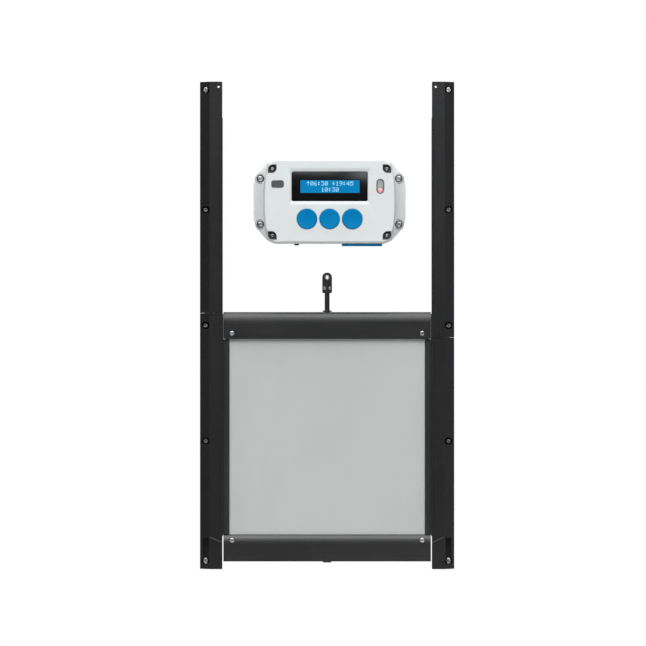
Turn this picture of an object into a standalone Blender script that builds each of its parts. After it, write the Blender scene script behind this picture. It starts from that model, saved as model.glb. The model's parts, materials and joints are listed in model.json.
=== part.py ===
"""Automatic coop door: a self-locking door in two wall runners, and the motor unit that lifts it.

Frame: metres, +Z up. The wall plane is Y = 0 and the object stands out from it towards -Y.
X = 0 is the middle of the door and Z = 0 is the bottom end of the runners.
"""

import math

import bmesh
import bpy
from mathutils import Matrix, Vector

MM = 0.001

OVERCUT = 1.0 * MM          # how far a cutter reaches past what it cuts

# Fits
CLEAR = 0.3 * MM            # gap between pieces that touch
SLIDE_CLEAR = 0.8 * MM      # gap beside a piece that slides
LOCK_CLEAR = 0.45 * MM      # gap round the lock's bolts and its plate
HOLE_CLEAR = 0.6 * MM       # how much wider a hole is than the shank in it

# Runners
HALF_SPAN = 182.0 * MM      # door centre to the outside of a runner
RUNNER_WIDTH = 31.8 * MM
RUNNER_DEPTH = 24.0 * MM
RUNNER_WALL = 2.0 * MM
RUNNER_LONG = 366.0 * MM
RUNNER_SHORT = 331.0 * MM
CHANNEL_WIDTH = 16.0 * MM   # inner edge of a runner to its middle web
SLOPE_WIDTH = 14.0 * MM     # width of the sloped outer face
SIDE_DEPTH = 10.0 * MM      # depth of the flat outer side
LAND_DEPTH = 6.0 * MM       # solid land under the runner screws
PILOT_HOLE = 3.8 * MM       # small hole near each runner's top
PILOT_INSET = 5.2 * MM      # its distance from the inner edge
PILOT_DROP = 7.0 * MM       # its distance below the top end

# Runner screws
SCREW_FROM_SIDE = 8.2 * MM
SCREW_HEAD = 8.6 * MM
SCREW_HEAD_HEIGHT = 3.4 * MM
SCREW_SHANK = 4.2 * MM
SCREW_IN_WALL = 10.0 * MM
COUNTERBORE_GAP = 1.0 * MM     # round the head, above and below it
COUNTERBORE_SLOT = 1.4 * MM    # extra width of the counterbore
SCREW_END_MARGIN = 11.7 * MM   # runner end to the outer screws
SCREW_SECOND = 183.0 * MM      # runner end to the next ones

# Door
DOOR_BOTTOM = 10.9 * MM
DOOR_GAP = 1.8 * MM         # bar ends to the runners
BAR_HEIGHT = 38.5 * MM
BAR_SETBACK = 3.0 * MM      # runner fronts to the front of the bars
BAR_BACK = 2.5 * MM         # wall plane to the back of the bars
BAR_ARC_DEPTH = 6.0 * MM
BAR_ARC_HEIGHT = 16.0 * MM
BAR_ARC_STEPS = 7
BAR_WALL = 2.2 * MM
PANEL_VISIBLE = 279.7 * MM  # height of the panel between the bars
PANEL_THICKNESS = 2.0 * MM
PANEL_SETBACK = 6.0 * MM    # front of the bars to the front of the panel
PANEL_LAP = 15.0 * MM       # how far the panel reaches into each bar
GROOVE_DEPTH = 6.0 * MM     # how far the panel reaches into each stile
STILE_FACE = 8.6 * MM       # width of a stile between panel and bar end
STILE_FRONT_LIP = 2.5 * MM  # stile in front of the panel
STILE_BACK_LIP = 4.5 * MM   # stile behind the panel
STILE_NECK_REACH = 3.3 * MM    # runner edge to the thick tongue of a stile
STILE_HEAD_WALL = 2.0 * MM
TONGUE_LOW = 1.9 * MM       # tongue end below the bottom bar's top
TONGUE_HIGH = 2.6 * MM      # tongue end below the top bar's top
DOOR_SCREW_INSET = 12.3 * MM   # bar end to its screws
DOOR_SCREW_DROP = 8.2 * MM  # panel-side edge of a bar to its screws
DOOR_SCREW_HEAD = 6.7 * MM
DOOR_SCREW_HEAD_HEIGHT = 2.2 * MM
DOOR_SCREW_SEAT = 1.2 * MM  # depth of the seat below the bar's flat front
DOOR_SCREW_SHANK = 3.6 * MM
DOOR_SCREW_LENGTH = 15.0 * MM

# Lift rod and lock
ROD = 7.0 * MM
ROD_GAP = 1.3 * MM          # back of the panel to the rod
COLLAR_RIM = 2.65 * MM      # width of the collar's base round its bore
COLLAR_TAPER = 1.0 * MM
COLLAR_HEIGHT = 2.2 * MM
EYE_RISE = 27.4 * MM        # top bar to the lifter eye
EYE_WALL = 3.5 * MM         # beside the rod in the eye
EYE_HEIGHT = 29.2 * MM
EYE_THICKNESS = 8.0 * MM
EYE_HOLE = 6.2 * MM
EYE_SOCKET_WALL = 2.0 * MM
EYE_SOCKET_DEPTH = 12.0 * MM
LOCK_TRAVEL = 7.0 * MM      # drop of the rod, and reach of each bolt
CAM_THICKNESS = 3.0 * MM
CAM_BORDER = 3.0 * MM
FOOT_WIDTH = 12.0 * MM
FOOT_REACH = 2.0 * MM       # how far the foot stands below the bottom bar
BOLT_HEIGHT = 8.8 * MM
BOLT_THICKNESS = 4.0 * MM
BOLT_PIN = 4.0 * MM
BOLT_PIN_X = 8.0 * MM

# Runner foot
KEEPER_GAP = 2.6 * MM       # lock bolt to the keeper over it
KEEPER_HEIGHT = 12.0 * MM   # of its taller side, next to the web
KEEPER_DROP = 7.6 * MM      # fall of its top towards the door
RIB_WIDTH = 2.6 * MM
RIB_RISE = 1.4 * MM
RIB_CREST = 0.5 * MM        # width of the rib at its front
POCKET_BOTTOM = 16.0 * MM
POCKET_WIDTH = 8.4 * MM

# Glide strips
STRIP_DROP = 52.0 * MM      # runner top to the strips
STRIP_WALL = 0.7 * MM
STRIP_LAP = 1.5 * MM

# Motor unit: its shells
BOX_X = 3.5 * MM
BOX_BOTTOM = 465.0 * MM
BOX_HEIGHT = 120.5 * MM
BOX_HALF_WIDTH = 108.4 * MM
BOX_STANDOFF = 1.0 * MM     # runner fronts to the back of the unit
BOX_WALL = 2.5 * MM
FACE_WALL = 5.0 * MM        # thickness of the unit's front face
EAR_WIDTH = 14.4 * MM
EAR_DEPTH = 12.5 * MM
DOME_START = 15.5 * MM
REAR_EDGE = 1.2 * MM        # chamfer round the unit's back
SEAM_DEPTH = 20.0 * MM
SEAL_THICKNESS = 1.4 * MM
SEAL_WIDTH = 2.0 * MM
SEAL_INSET = 0.4 * MM       # the seal stands this far inside the shells
MOUNT_SCREW_INSET = 9.7 * MM   # from the unit's side
MOUNT_SCREW_DROP = 27.75 * MM  # from its top and bottom
MOUNT_SCREW_HEAD = 9.0 * MM
MOUNT_SCREW_HEAD_HEIGHT = 3.4 * MM
MOUNT_SCREW_SHANK = 4.4 * MM
MOUNT_COUNTERBORE_GAP = 1.0 * MM
MOUNT_COUNTERBORE_DEPTH = 4.0 * MM
CASE_SCREW_INSET = 12.6 * MM   # from the front cover's side
CASE_SCREW_DROP = 14.6 * MM    # from its top
CASE_SCREW_RISE = 11.2 * MM    # from its bottom
CASE_SCREW_HEAD = 4.6 * MM
CASE_SCREW_HEAD_HEIGHT = 2.2 * MM
CASE_SCREW_SHANK = 2.6 * MM
CASE_SCREW_END = 6.0 * MM   # from the unit's back
LEAF_SIZE = 12.4 * MM
LEAF_DEPTH = 6.0 * MM

# Motor unit: its front
DISPLAY_WIDTH = 107.7 * MM
DISPLAY_HEIGHT = 41.7 * MM
DISPLAY_RISE = 20.7 * MM   # unit's middle to the display's middle
DISPLAY_THICKNESS = 2.2 * MM
DISPLAY_RECESS = 2.4 * MM
LEDGE_HEIGHT = 6.5 * MM     # height of the slope under the display
BROW_HEIGHT = 6.0 * MM      # height of the slope over the display
LEDGE_REACH = 5.0 * MM      # how much wider than the display the slopes end
LCD_BORDER = 5.85 * MM      # display edge to the module at its sides
LCD_HEIGHT = 34.0 * MM
LCD_SPACE = 6.4 * MM        # circuit board to the inside of the face
BOARD_THICKNESS = 1.6 * MM
BUTTON = 29.1 * MM
BUTTON_GAP = 3.1 * MM
BUTTON_FALL = 25.65 * MM    # unit's middle down to the buttons
BUTTON_PROUD = 1.2 * MM
BUTTON_TRAVEL = 1.5 * MM
BUTTON_FLANGE = 1.0 * MM
BUTTON_DISH = 0.8 * MM
BUTTON_EDGE = 1.0 * MM
BUTTON_STEM = 6.0 * MM
PILL_INSET = 22.0 * MM      # from the front cover's side
PILL_WIDTH = 10.6 * MM
PILL_HEIGHT = 20.9 * MM
LED = 5.0 * MM
LED_RIM = 0.4 * MM
LED_RIM_HEIGHT = 1.0 * MM
LED_BELOW_PILL = 6.0 * MM

# Motor unit: its drive and its battery
SPOOL_OFFSET = -47.1 * MM   # unit's middle to the spool
SPOOL_FALL = 10.25 * MM     # unit's middle down to the spool's axis
DRUM_RADIUS = 12.0 * MM
DRUM_LENGTH = 12.0 * MM
SPOOL_RIM = 4.5 * MM        # flange over the drum
SPOOL_FLANGE = 1.5 * MM
SHAFT = 6.0 * MM
SHAFT_REACH = 8.0 * MM
GEARBOX_RADIUS = 17.0 * MM
GEARBOX_LENGTH = 24.0 * MM
MOTOR_STEP = 3.2 * MM       # how much slimmer the motor is than its gearbox
MOTOR_LENGTH = 28.0 * MM
DRIVE_GAP = 2.5 * MM        # gearbox to the rear wall
BOARD_GAP = 4.0 * MM        # gearbox to the circuit board
OUTLET_WALL = 1.9 * MM
OUTLET_FLANGE = 1.5 * MM
OUTLET_FLANGE_HEIGHT = 1.2 * MM
OUTLET_EDGE = 0.8 * MM
OUTLET_BORE = 3.2 * MM
OUTLET_PROUD = 2.3 * MM
DRAWER_OFFSET = 46.1 * MM   # unit's middle to the drawer's middle
DRAWER_CAP_LIP = 1.7 * MM   # cap beyond the tray
DRAWER_WALL = 1.5 * MM
DRAWER_BACK = 4.5 * MM      # back of the unit to the back of the drawer
DRAWER_CAP = 3.2 * MM
CELL = 14.2 * MM
CELL_LENGTH = 50.5 * MM
CELL_NUB = 5.4 * MM
CELL_NUB_LENGTH = 1.2 * MM
CELL_EDGE = 0.5 * MM

# Derived: runners and door, widths and heights
RUNNER_INNER = HALF_SPAN - RUNNER_WIDTH
WEB_INNER = RUNNER_INNER + CHANNEL_WIDTH
WEB_OUTER = WEB_INNER + RUNNER_WALL
HEIGHT = RUNNER_LONG + RUNNER_SHORT
SCREW_X = HALF_SPAN - SCREW_FROM_SIDE
SCREW_HEIGHTS = (
    SCREW_END_MARGIN,
    SCREW_SECOND,
    HEIGHT / 2,
    HEIGHT - SCREW_SECOND,
    HEIGHT - SCREW_END_MARGIN,
)
BAR_HALF_LENGTH = RUNNER_INNER - DOOR_GAP
STILE_INNER = BAR_HALF_LENGTH - STILE_FACE
STILE_NECK = RUNNER_INNER + STILE_NECK_REACH
DOOR_SCREW_X = BAR_HALF_LENGTH - DOOR_SCREW_INSET
BOTTOM_BAR_TOP = DOOR_BOTTOM + BAR_HEIGHT
TOP_BAR_BOTTOM = BOTTOM_BAR_TOP + PANEL_VISIBLE
TOP_BAR_TOP = TOP_BAR_BOTTOM + BAR_HEIGHT
TONGUE_BOTTOM = BOTTOM_BAR_TOP - TONGUE_LOW
TONGUE_TOP = TOP_BAR_TOP - TONGUE_HIGH

# Derived: door, distances from the wall plane
BAR_FRONT = RUNNER_DEPTH - BAR_SETBACK
PANEL_FRONT = BAR_FRONT - PANEL_SETBACK
PANEL_BACK = PANEL_FRONT - PANEL_THICKNESS
STILE_FRONT = PANEL_FRONT + STILE_FRONT_LIP
STILE_BACK = PANEL_BACK - STILE_BACK_LIP
SLOT_FRONT = PANEL_FRONT + CLEAR
SLOT_BACK = PANEL_BACK - CLEAR
SLOT_DEPTH = PANEL_LAP + CLEAR

# Derived: lift rod, lock and runner foot
ROD_Y = -(PANEL_BACK - ROD_GAP - ROD / 2)
ROD_HOLE = ROD + HOLE_CLEAR
EYE_BOTTOM = TOP_BAR_TOP + EYE_RISE
EYE_WIDTH = ROD + 2 * EYE_WALL
EYE_SOCKET = ROD + 2 * (CLEAR + EYE_SOCKET_WALL)
CAM_MARGIN = (BOLT_PIN + HOLE_CLEAR) / 2 + CAM_BORDER
BOLT_Z = DOOR_BOTTOM + BAR_WALL + LOCK_TRAVEL + CAM_MARGIN + CLEAR * 2
KEEPER_BOTTOM = BOLT_Z + BOLT_HEIGHT / 2 + KEEPER_GAP
KEEPER_OUTER_TOP = KEEPER_BOTTOM + KEEPER_HEIGHT
KEEPER_INNER_TOP = KEEPER_OUTER_TOP - KEEPER_DROP
STRIP_BOTTOM = TONGUE_BOTTOM
STRIP_TOP = HEIGHT - STRIP_DROP

# Derived: motor unit, from its middle and its back
BOX_BACK = -(RUNNER_DEPTH + BOX_STANDOFF)
BOX_MID = BOX_BOTTOM + BOX_HEIGHT / 2
DOME_HALF_WIDTH = BOX_HALF_WIDTH - EAR_WIDTH
MOUNT_SCREW_X = BOX_HALF_WIDTH - MOUNT_SCREW_INSET
MOUNT_SCREW_Z = BOX_HEIGHT / 2 - MOUNT_SCREW_DROP
CASE_SCREW_X = DOME_HALF_WIDTH - CASE_SCREW_INSET
SPOOL_X = BOX_X + SPOOL_OFFSET
SPOOL_Z = BOX_MID - SPOOL_FALL
SPOOL_DEPTH = BOX_WALL + DRIVE_GAP + GEARBOX_RADIUS
MOTOR_RADIUS = GEARBOX_RADIUS - MOTOR_STEP
BOARD_BACK = SPOOL_DEPTH + GEARBOX_RADIUS + BOARD_GAP
FACE_INNER = BOARD_BACK + BOARD_THICKNESS + LCD_SPACE
BOX_DEPTH = FACE_INNER + FACE_WALL
LEAF_FLOOR = BOX_DEPTH - LEAF_DEPTH
FRONT_START = SEAM_DEPTH + SEAL_THICKNESS + 2 * CLEAR
DISPLAY_Z = BOX_MID + DISPLAY_RISE
BUTTON_Z = BOX_MID - BUTTON_FALL
BUTTON_PITCH = BUTTON + BUTTON_GAP
PILL_X = BOX_X + DOME_HALF_WIDTH - PILL_INSET
PILL_Z = DISPLAY_Z
DRAWER_X = BOX_X + DRAWER_OFFSET
DRAWER_INSIDE = 2 * CELL + 3 * CLEAR
DRAWER_DEPTH = DRAWER_INSIDE + 2 * DRAWER_WALL
DRAWER_TOP = BOX_BOTTOM + BOX_WALL + DRAWER_INSIDE + DRAWER_WALL

SIDES = (("left", -1), ("right", 1))

# Outlines of the motor unit: corners of the upper right quarter, as distances in from its
# half width and half height
EAR_CORNERS = ((0.0, 37.0), (2.8, 24.0), (19.4, 4.9), (30.4, 0.0))
DOME_CORNERS = ((0.0, 45.0), (1.5, 25.0), (6.5, 5.2), (16.0, 0.0))
CAVITY_CORNERS = ((0.0, 34.75), (35.5, 0.0))
OUTLINE_RADIUS = 6.0 * MM
CAVITY_RADIUS = 3.0 * MM
# Edge rounding of the front cover: distance from its face, and inset of the outline there
FACE_EDGE = ((9.0, 0.2), (4.0, 0.6), (1.5, 1.6), (0.0, 3.6))


# --- modelling helpers -----------------------------------------------------------------


def clear_scene():
    for item in list(bpy.data.objects):
        bpy.data.objects.remove(item, do_unlink=True)


def material(name, colour, roughness, metallic=0.0):
    """A Principled BSDF material."""
    made = bpy.data.materials.new(name)
    made.use_nodes = True
    shader = made.node_tree.nodes["Principled BSDF"]
    shader.inputs["Base Color"].default_value = (*colour, 1.0)
    shader.inputs["Roughness"].default_value = roughness
    shader.inputs["Metallic"].default_value = metallic
    return made


def solid(name, shape):
    """An object from a bmesh, with outward faces and smooth round stretches."""
    bmesh.ops.recalc_face_normals(shape, faces=shape.faces)
    mesh = bpy.data.meshes.new(name)
    shape.to_mesh(mesh)
    shape.free()
    mesh.shade_smooth()
    mesh.set_sharp_from_angle(angle=math.radians(32))
    made = bpy.data.objects.new(name, mesh)
    bpy.context.scene.collection.objects.link(made)
    return made


def place(axis, first, second, along):
    """A point from two outline coordinates and a position along an axis."""
    if axis == "X":
        return Vector((along, first, second))
    if axis == "Y":
        return Vector((first, along, second))
    return Vector((first, second, along))


def stack(name, rings, axis):
    """A closed body through outlines of equal length, each with its position on the axis."""
    shape = bmesh.new()
    loops = []
    for outline, along in rings:
        loops.append([shape.verts.new(place(axis, u, v, along)) for u, v in outline])
    for lower, upper in zip(loops, loops[1:]):
        count = len(lower)
        for i in range(count):
            j = (i + 1) % count
            shape.faces.new((lower[i], lower[j], upper[j], upper[i]))
    shape.faces.new(loops[0])
    shape.faces.new(loops[-1])
    return solid(name, shape)


def prism(name, outline, axis, low, high):
    return stack(name, ((outline, low), (outline, high)), axis)


def block(name, x_range, y_range, z_range):
    (x0, x1), (y0, y1) = x_range, y_range
    return prism(name, ((x0, y0), (x1, y0), (x1, y1), (x0, y1)), "Z", *z_range)


def turned(name, profile, axis, centre, segments=20, ring=False):
    """A body turned about an axis from (radius, position) points; a ring closes on itself."""
    shape = bmesh.new()
    loops = []
    for radius, along in profile:
        if radius == 0.0:
            loops.append([shape.verts.new(place(axis, centre[0], centre[1], along))])
            continue
        angles = [math.tau * i / segments for i in range(segments)]
        loops.append([
            shape.verts.new(place(
                axis,
                centre[0] + radius * math.cos(angle),
                centre[1] + radius * math.sin(angle),
                along,
            ))
            for angle in angles
        ])
    pairs = list(zip(loops, loops[1:]))
    if ring:
        pairs.append((loops[-1], loops[0]))
    for lower, upper in pairs:
        for i in range(segments):
            j = (i + 1) % segments
            if len(lower) == 1:
                shape.faces.new((lower[0], upper[j], upper[i]))
            elif len(upper) == 1:
                shape.faces.new((lower[i], lower[j], upper[0]))
            else:
                shape.faces.new((lower[i], lower[j], upper[j], upper[i]))
    return solid(name, shape)


def rod_between(name, radius, axis, centre, low, high, segments=20):
    profile = ((0.0, low), (radius, low), (radius, high), (0.0, high))
    return turned(name, profile, axis, centre, segments)


def combine(target, tools, operation):
    """Merges tools into one hidden object, then cuts it from a body or joins it to it."""
    shape = bmesh.new()
    for tool in tools:
        shape.from_mesh(tool.data)
        bpy.data.objects.remove(tool, do_unlink=True)
    merged = solid(f"{target.name}_{operation.lower()}", shape)
    merged.hide_render = True
    merged.display_type = "WIRE"
    step = target.modifiers.new(merged.name, "BOOLEAN")
    step.operation = operation
    step.solver = "EXACT"
    step.use_self = len(tools) > 1
    step.object = merged


def cut(target, tools):
    combine(target, tools, "DIFFERENCE")


def join(target, tools):
    combine(target, tools, "UNION")


# --- outlines --------------------------------------------------------------------------


def arc(centre, radii, start, end, steps):
    """Points on an ellipse's arc, angles in degrees."""
    points = []
    for i in range(steps + 1):
        angle = math.radians(start + (end - start) * i / steps)
        points.append((centre[0] + radii[0] * math.cos(angle), centre[1] + radii[1] * math.sin(angle)))
    return points


def signed_area(points):
    pairs = zip(points, points[1:] + points[:1])
    return sum(a[0] * b[1] - b[0] * a[1] for a, b in pairs) / 2


def rounded(points, radius, steps=2):
    """A convex outline with each corner replaced by an arc."""
    corners = [Vector(point) for point in points]
    result = []
    for i, corner in enumerate(corners):
        before = (corners[i - 1] - corner).normalized()
        after = (corners[(i + 1) % len(corners)] - corner).normalized()
        half = before.angle(after) / 2
        middle = corner + (before + after).normalized() * radius / math.sin(half)
        start = corner + before * radius / math.tan(half) - middle
        turn = (math.pi - 2 * half) / steps
        if signed_area(points) < 0:
            turn = -turn
        for k in range(steps + 1):
            spoke = Matrix.Rotation(turn * k, 2) @ start
            result.append(tuple(middle + spoke))
    return result


def inset(points, distance):
    """A convex counter-clockwise outline with every edge moved inwards."""
    corners = [Vector(point) for point in points]
    edges = []
    for i, corner in enumerate(corners):
        along = (corners[(i + 1) % len(corners)] - corner).normalized()
        inward = Vector((-along.y, along.x))
        edges.append((corner + inward * distance, inward))
    result = []
    for i, (point, inward) in enumerate(edges):
        other, other_inward = edges[i - 1]
        a, b = inward.dot(point), other_inward.dot(other)
        det = inward.x * other_inward.y - inward.y * other_inward.x
        x = (a * other_inward.y - b * inward.y) / det
        y = (b * inward.x - a * other_inward.x) / det
        result.append((x, y))
    return result


def slot_outline(start, end, radius, steps=6):
    """An obround from one centre to another."""
    line = Vector(end) - Vector(start)
    heading = math.degrees(math.atan2(line.y, line.x))
    return (arc(end, (radius, radius), heading - 90, heading + 90, steps)
            + arc(start, (radius, radius), heading + 90, heading + 270, steps))


def box_outline(quarter, half_width, half_height=BOX_HEIGHT / 2):
    """The motor unit's outline from the corners of one quarter, counter-clockwise."""
    corner = [(half_width - dx * MM, half_height - dz * MM) for dx, dz in quarter]
    left = [(-x, z) for x, z in reversed(corner)]
    lower = [(-x, -z) for x, z in corner + left]
    return corner + left + lower


def at_box(points):
    return [(BOX_X + x, BOX_MID + z) for x, z in points]


def box_y(depth):
    return BOX_BACK - depth


def box_stack(name, rings):
    """A body of the motor unit from (outline, depth from its back) rings."""
    return stack(name, [(at_box(outline), box_y(depth)) for outline, depth in rings], "Y")


# --- runners ---------------------------------------------------------------------------


def mirrored(points, sign):
    return [(sign * x, y) for x, y in points]


def slope_front(x):
    """Y of the sloped outer face at a distance from the door's centre."""
    rise = (RUNNER_DEPTH - SIDE_DEPTH) / SLOPE_WIDTH
    return -SIDE_DEPTH - (HALF_SPAN - x) * rise


def runner_outline():
    crease = HALF_SPAN - SLOPE_WIDTH
    return [
        (RUNNER_INNER, 0.0),
        (RUNNER_INNER, -RUNNER_WALL),
        (WEB_INNER, -RUNNER_WALL),
        (WEB_INNER, -RUNNER_DEPTH + RUNNER_WALL),
        (RUNNER_INNER, -RUNNER_DEPTH + RUNNER_WALL),
        (RUNNER_INNER, -RUNNER_DEPTH),
        (crease, -RUNNER_DEPTH),
        (HALF_SPAN, -SIDE_DEPTH),
        (HALF_SPAN, 0.0),
    ]


def chamber_outline():
    """The hollow behind the sloped face."""
    outer = HALF_SPAN - RUNNER_WALL
    wall = RUNNER_WALL * math.hypot(SLOPE_WIDTH, RUNNER_DEPTH - SIDE_DEPTH) / SLOPE_WIDTH
    return [
        (WEB_OUTER, -LAND_DEPTH),
        (WEB_OUTER, slope_front(WEB_OUTER) + wall),
        (outer, slope_front(outer) + wall),
        (outer, -LAND_DEPTH),
    ]


def runner(name, sign, bottom, top, finish):
    """One length of runner, and the tools for its hollow and its screw holes."""
    made = prism(name, mirrored(runner_outline(), sign), "Z", bottom, top)
    made.data.materials.append(finish)
    chamber = mirrored(chamber_outline(), sign)
    tools = [prism(f"{name}_chamber", chamber, "Z", bottom - OVERCUT, top + OVERCUT)]
    x = sign * SCREW_X
    front = -RUNNER_DEPTH - OVERCUT
    for number, z in enumerate(SCREW_HEIGHTS):
        if not bottom < z < top:
            continue
        reach = COUNTERBORE_SLOT / 2
        window = slot_outline((x - reach, z), (x + reach, z), SCREW_HEAD / 2 + COUNTERBORE_GAP)
        radius = (SCREW_SHANK + HOLE_CLEAR) / 2
        tools.append(prism(f"{name}_window_{number}", window, "Y", front, -LAND_DEPTH + CLEAR))
        tools.append(rod_between(f"{name}_hole_{number}", radius, "Y", (x, z), front + OVERCUT, OVERCUT, 12))
    return made, tools


def lock_pocket(name, sign):
    """The opening in the sloped face at the foot of a runner."""
    middle = sign * (SCREW_X - CLEAR)
    return block(
        name,
        (middle - POCKET_WIDTH / 2, middle + POCKET_WIDTH / 2),
        (-RUNNER_DEPTH - OVERCUT, -LAND_DEPTH - OVERCUT),
        (POCKET_BOTTOM, KEEPER_OUTER_TOP),
    )


def foot_rib(name, sign):
    """The slanted rib across the front of a runner's foot; its upper side slopes back."""
    inner, outer = RUNNER_INNER + CLEAR, HALF_SPAN - SLOPE_WIDTH - CLEAR

    def outline(width):
        return mirrored([
            (inner, KEEPER_INNER_TOP),
            (outer, KEEPER_OUTER_TOP),
            (outer, KEEPER_OUTER_TOP + width),
            (inner, KEEPER_INNER_TOP + width),
        ], sign)

    return stack(name, (
        (outline(RIB_WIDTH), -RUNNER_DEPTH + RUNNER_WALL / 2),
        (outline(RIB_WIDTH), -RUNNER_DEPTH),
        (outline(RIB_CREST), -RUNNER_DEPTH - RIB_RISE),
    ), "Y")


def pilot_hole(name, sign):
    centre = (sign * (RUNNER_INNER + PILOT_INSET), HEIGHT - PILOT_DROP)
    return rod_between(name, PILOT_HOLE / 2, "Y", centre, -RUNNER_DEPTH - OVERCUT, OVERCUT, 12)


def runner_screw(name, sign, z, finish):
    """A pan head screw, seated on the land behind the sloped face."""
    seat = -LAND_DEPTH
    top = seat - SCREW_HEAD_HEIGHT
    head, shank = SCREW_HEAD / 2, SCREW_SHANK / 2
    profile = [
        (0.0, top),
        (head * 0.6, top + SCREW_HEAD_HEIGHT * 0.12),
        (head, top + SCREW_HEAD_HEIGHT * 0.47),
        (head, seat),
        (shank, seat),
        (shank, SCREW_IN_WALL - 2 * shank),
        (0.0, SCREW_IN_WALL),
    ]
    made = turned(name, profile, "Y", (sign * SCREW_X, z), 14)
    made.data.materials.append(finish)
    return made


def keeper(name, sign, finish):
    """The block in the foot of a runner that the lock bolt catches under."""
    inner, outer = RUNNER_INNER + CLEAR, WEB_INNER - CLEAR
    side = [
        (inner, KEEPER_BOTTOM),
        (outer, KEEPER_BOTTOM),
        (outer, KEEPER_OUTER_TOP),
        (inner, KEEPER_INNER_TOP),
    ]
    made = prism(
        name,
        mirrored(side, sign),
        "Y",
        -RUNNER_DEPTH + RUNNER_WALL + CLEAR,
        -RUNNER_WALL - CLEAR,
    )
    made.data.materials.append(finish)
    return made


def glide_strip(name, sign, finish):
    """A clip of slippery plastic over the edge of the front flange."""
    outer_front = -RUNNER_DEPTH - CLEAR
    inner_front = -RUNNER_DEPTH + RUNNER_WALL + CLEAR
    edge = RUNNER_INNER - CLEAR
    lap = RUNNER_INNER + STRIP_LAP
    outline = [
        (edge - STRIP_WALL, outer_front - STRIP_WALL),
        (lap, outer_front - STRIP_WALL),
        (lap, outer_front),
        (edge, outer_front),
        (edge, inner_front),
        (lap, inner_front),
        (lap, inner_front + STRIP_WALL),
        (edge - STRIP_WALL, inner_front + STRIP_WALL),
    ]
    made = prism(name, mirrored(outline, sign), "Z", STRIP_BOTTOM, STRIP_TOP)
    made.data.materials.append(finish)
    return made


def build_runners(parts, finish):
    seams = {"left": RUNNER_LONG, "right": RUNNER_SHORT}
    for side, sign in SIDES:
        seam = seams[side]
        lower, tools = runner(f"{side}_runner_lower", sign, 0.0, seam, finish["runner"])
        cut(lower, [*tools, lock_pocket(f"{side}_lock_pocket", sign)])
        join(lower, [foot_rib(f"{side}_foot_rib", sign)])
        upper, tools = runner(f"{side}_runner_upper", sign, seam + CLEAR, HEIGHT, finish["runner"])
        cut(upper, [*tools, pilot_hole(f"{side}_pilot_hole", sign)])
        parts += [lower, upper]
        parts.append(keeper(f"{side}_lock_keeper", sign, finish["bar"]))
        parts.append(glide_strip(f"{side}_glide_strip", sign, finish["strip"]))
        for number, z in enumerate(SCREW_HEIGHTS, start=1):
            parts.append(runner_screw(f"{side}_runner_screw_{number}", sign, z, finish["steel"]))


# --- door ------------------------------------------------------------------------------


def bar_outline(bottom, top, wall=0.0):
    """A bar's section in Y and Z: flat front, rolled back at the top."""
    front, back = -BAR_FRONT + wall, -BAR_BACK - wall
    radii = (BAR_ARC_DEPTH - wall / 2, BAR_ARC_HEIGHT - wall)
    centre = (front + radii[0], top - radii[1])
    roll = arc(centre, radii, 180, 90, BAR_ARC_STEPS)
    return [(back, bottom), (front, bottom), *roll, (back, top)]


def panel_slot(name, low, high):
    ends = (-BAR_HALF_LENGTH - OVERCUT, BAR_HALF_LENGTH + OVERCUT)
    return block(name, ends, (-SLOT_FRONT, -SLOT_BACK), (low, high))


def screw_seats(name, z):
    """The sunk seats and the holes of a bar's two screws."""
    tools = []
    seat = -BAR_FRONT + DOOR_SCREW_SEAT
    end = seat + DOOR_SCREW_LENGTH + 2 * CLEAR
    for side, sign in SIDES:
        centre = (sign * DOOR_SCREW_X, z)
        sunk, shank = (DOOR_SCREW_HEAD + HOLE_CLEAR) / 2, (DOOR_SCREW_SHANK + HOLE_CLEAR) / 2
        tools.append(rod_between(f"{name}_{side}_seat", sunk, "Y", centre, -BAR_FRONT - OVERCUT, seat, 16))
        tools.append(rod_between(f"{name}_{side}_hole", shank, "Y", centre, seat - OVERCUT / 2, end, 12))
    return tools


def rod_hole(name, low, high):
    return rod_between(name, ROD_HOLE / 2, "Z", (0.0, ROD_Y), low, high)


def top_bar(finish):
    section = bar_outline(TOP_BAR_BOTTOM, TOP_BAR_TOP)
    made = prism("top_bar", section, "X", -BAR_HALF_LENGTH, BAR_HALF_LENGTH)
    hollow = TOP_BAR_BOTTOM + SLOT_DEPTH + BAR_WALL
    inner = bar_outline(hollow, TOP_BAR_TOP - BAR_WALL, BAR_WALL)
    made.data.materials.append(finish)
    cut(made, [
        panel_slot("top_bar_slot", TOP_BAR_BOTTOM - OVERCUT, TOP_BAR_BOTTOM + SLOT_DEPTH),
        prism("top_bar_hollow", inner, "X", -BAR_HALF_LENGTH - OVERCUT, BAR_HALF_LENGTH + OVERCUT),
        rod_hole("top_bar_rod_hole", TOP_BAR_BOTTOM - OVERCUT, TOP_BAR_TOP + OVERCUT),
        *screw_seats("top_bar", TOP_BAR_BOTTOM + DOOR_SCREW_DROP),
    ])
    return made


def cam_edges():
    """Half width, bottom and top of the cam plate."""
    return BOLT_PIN_X + LOCK_TRAVEL + CAM_MARGIN, BOLT_Z - CAM_MARGIN, BOLT_Z + LOCK_TRAVEL + CAM_MARGIN


def bolt_faces():
    """Y of the front and the back of the lock bolts, which lie in front of the cam plate."""
    back = ROD_Y - CAM_THICKNESS / 2 - 2 * CLEAR
    return back - BOLT_THICKNESS, back


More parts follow.
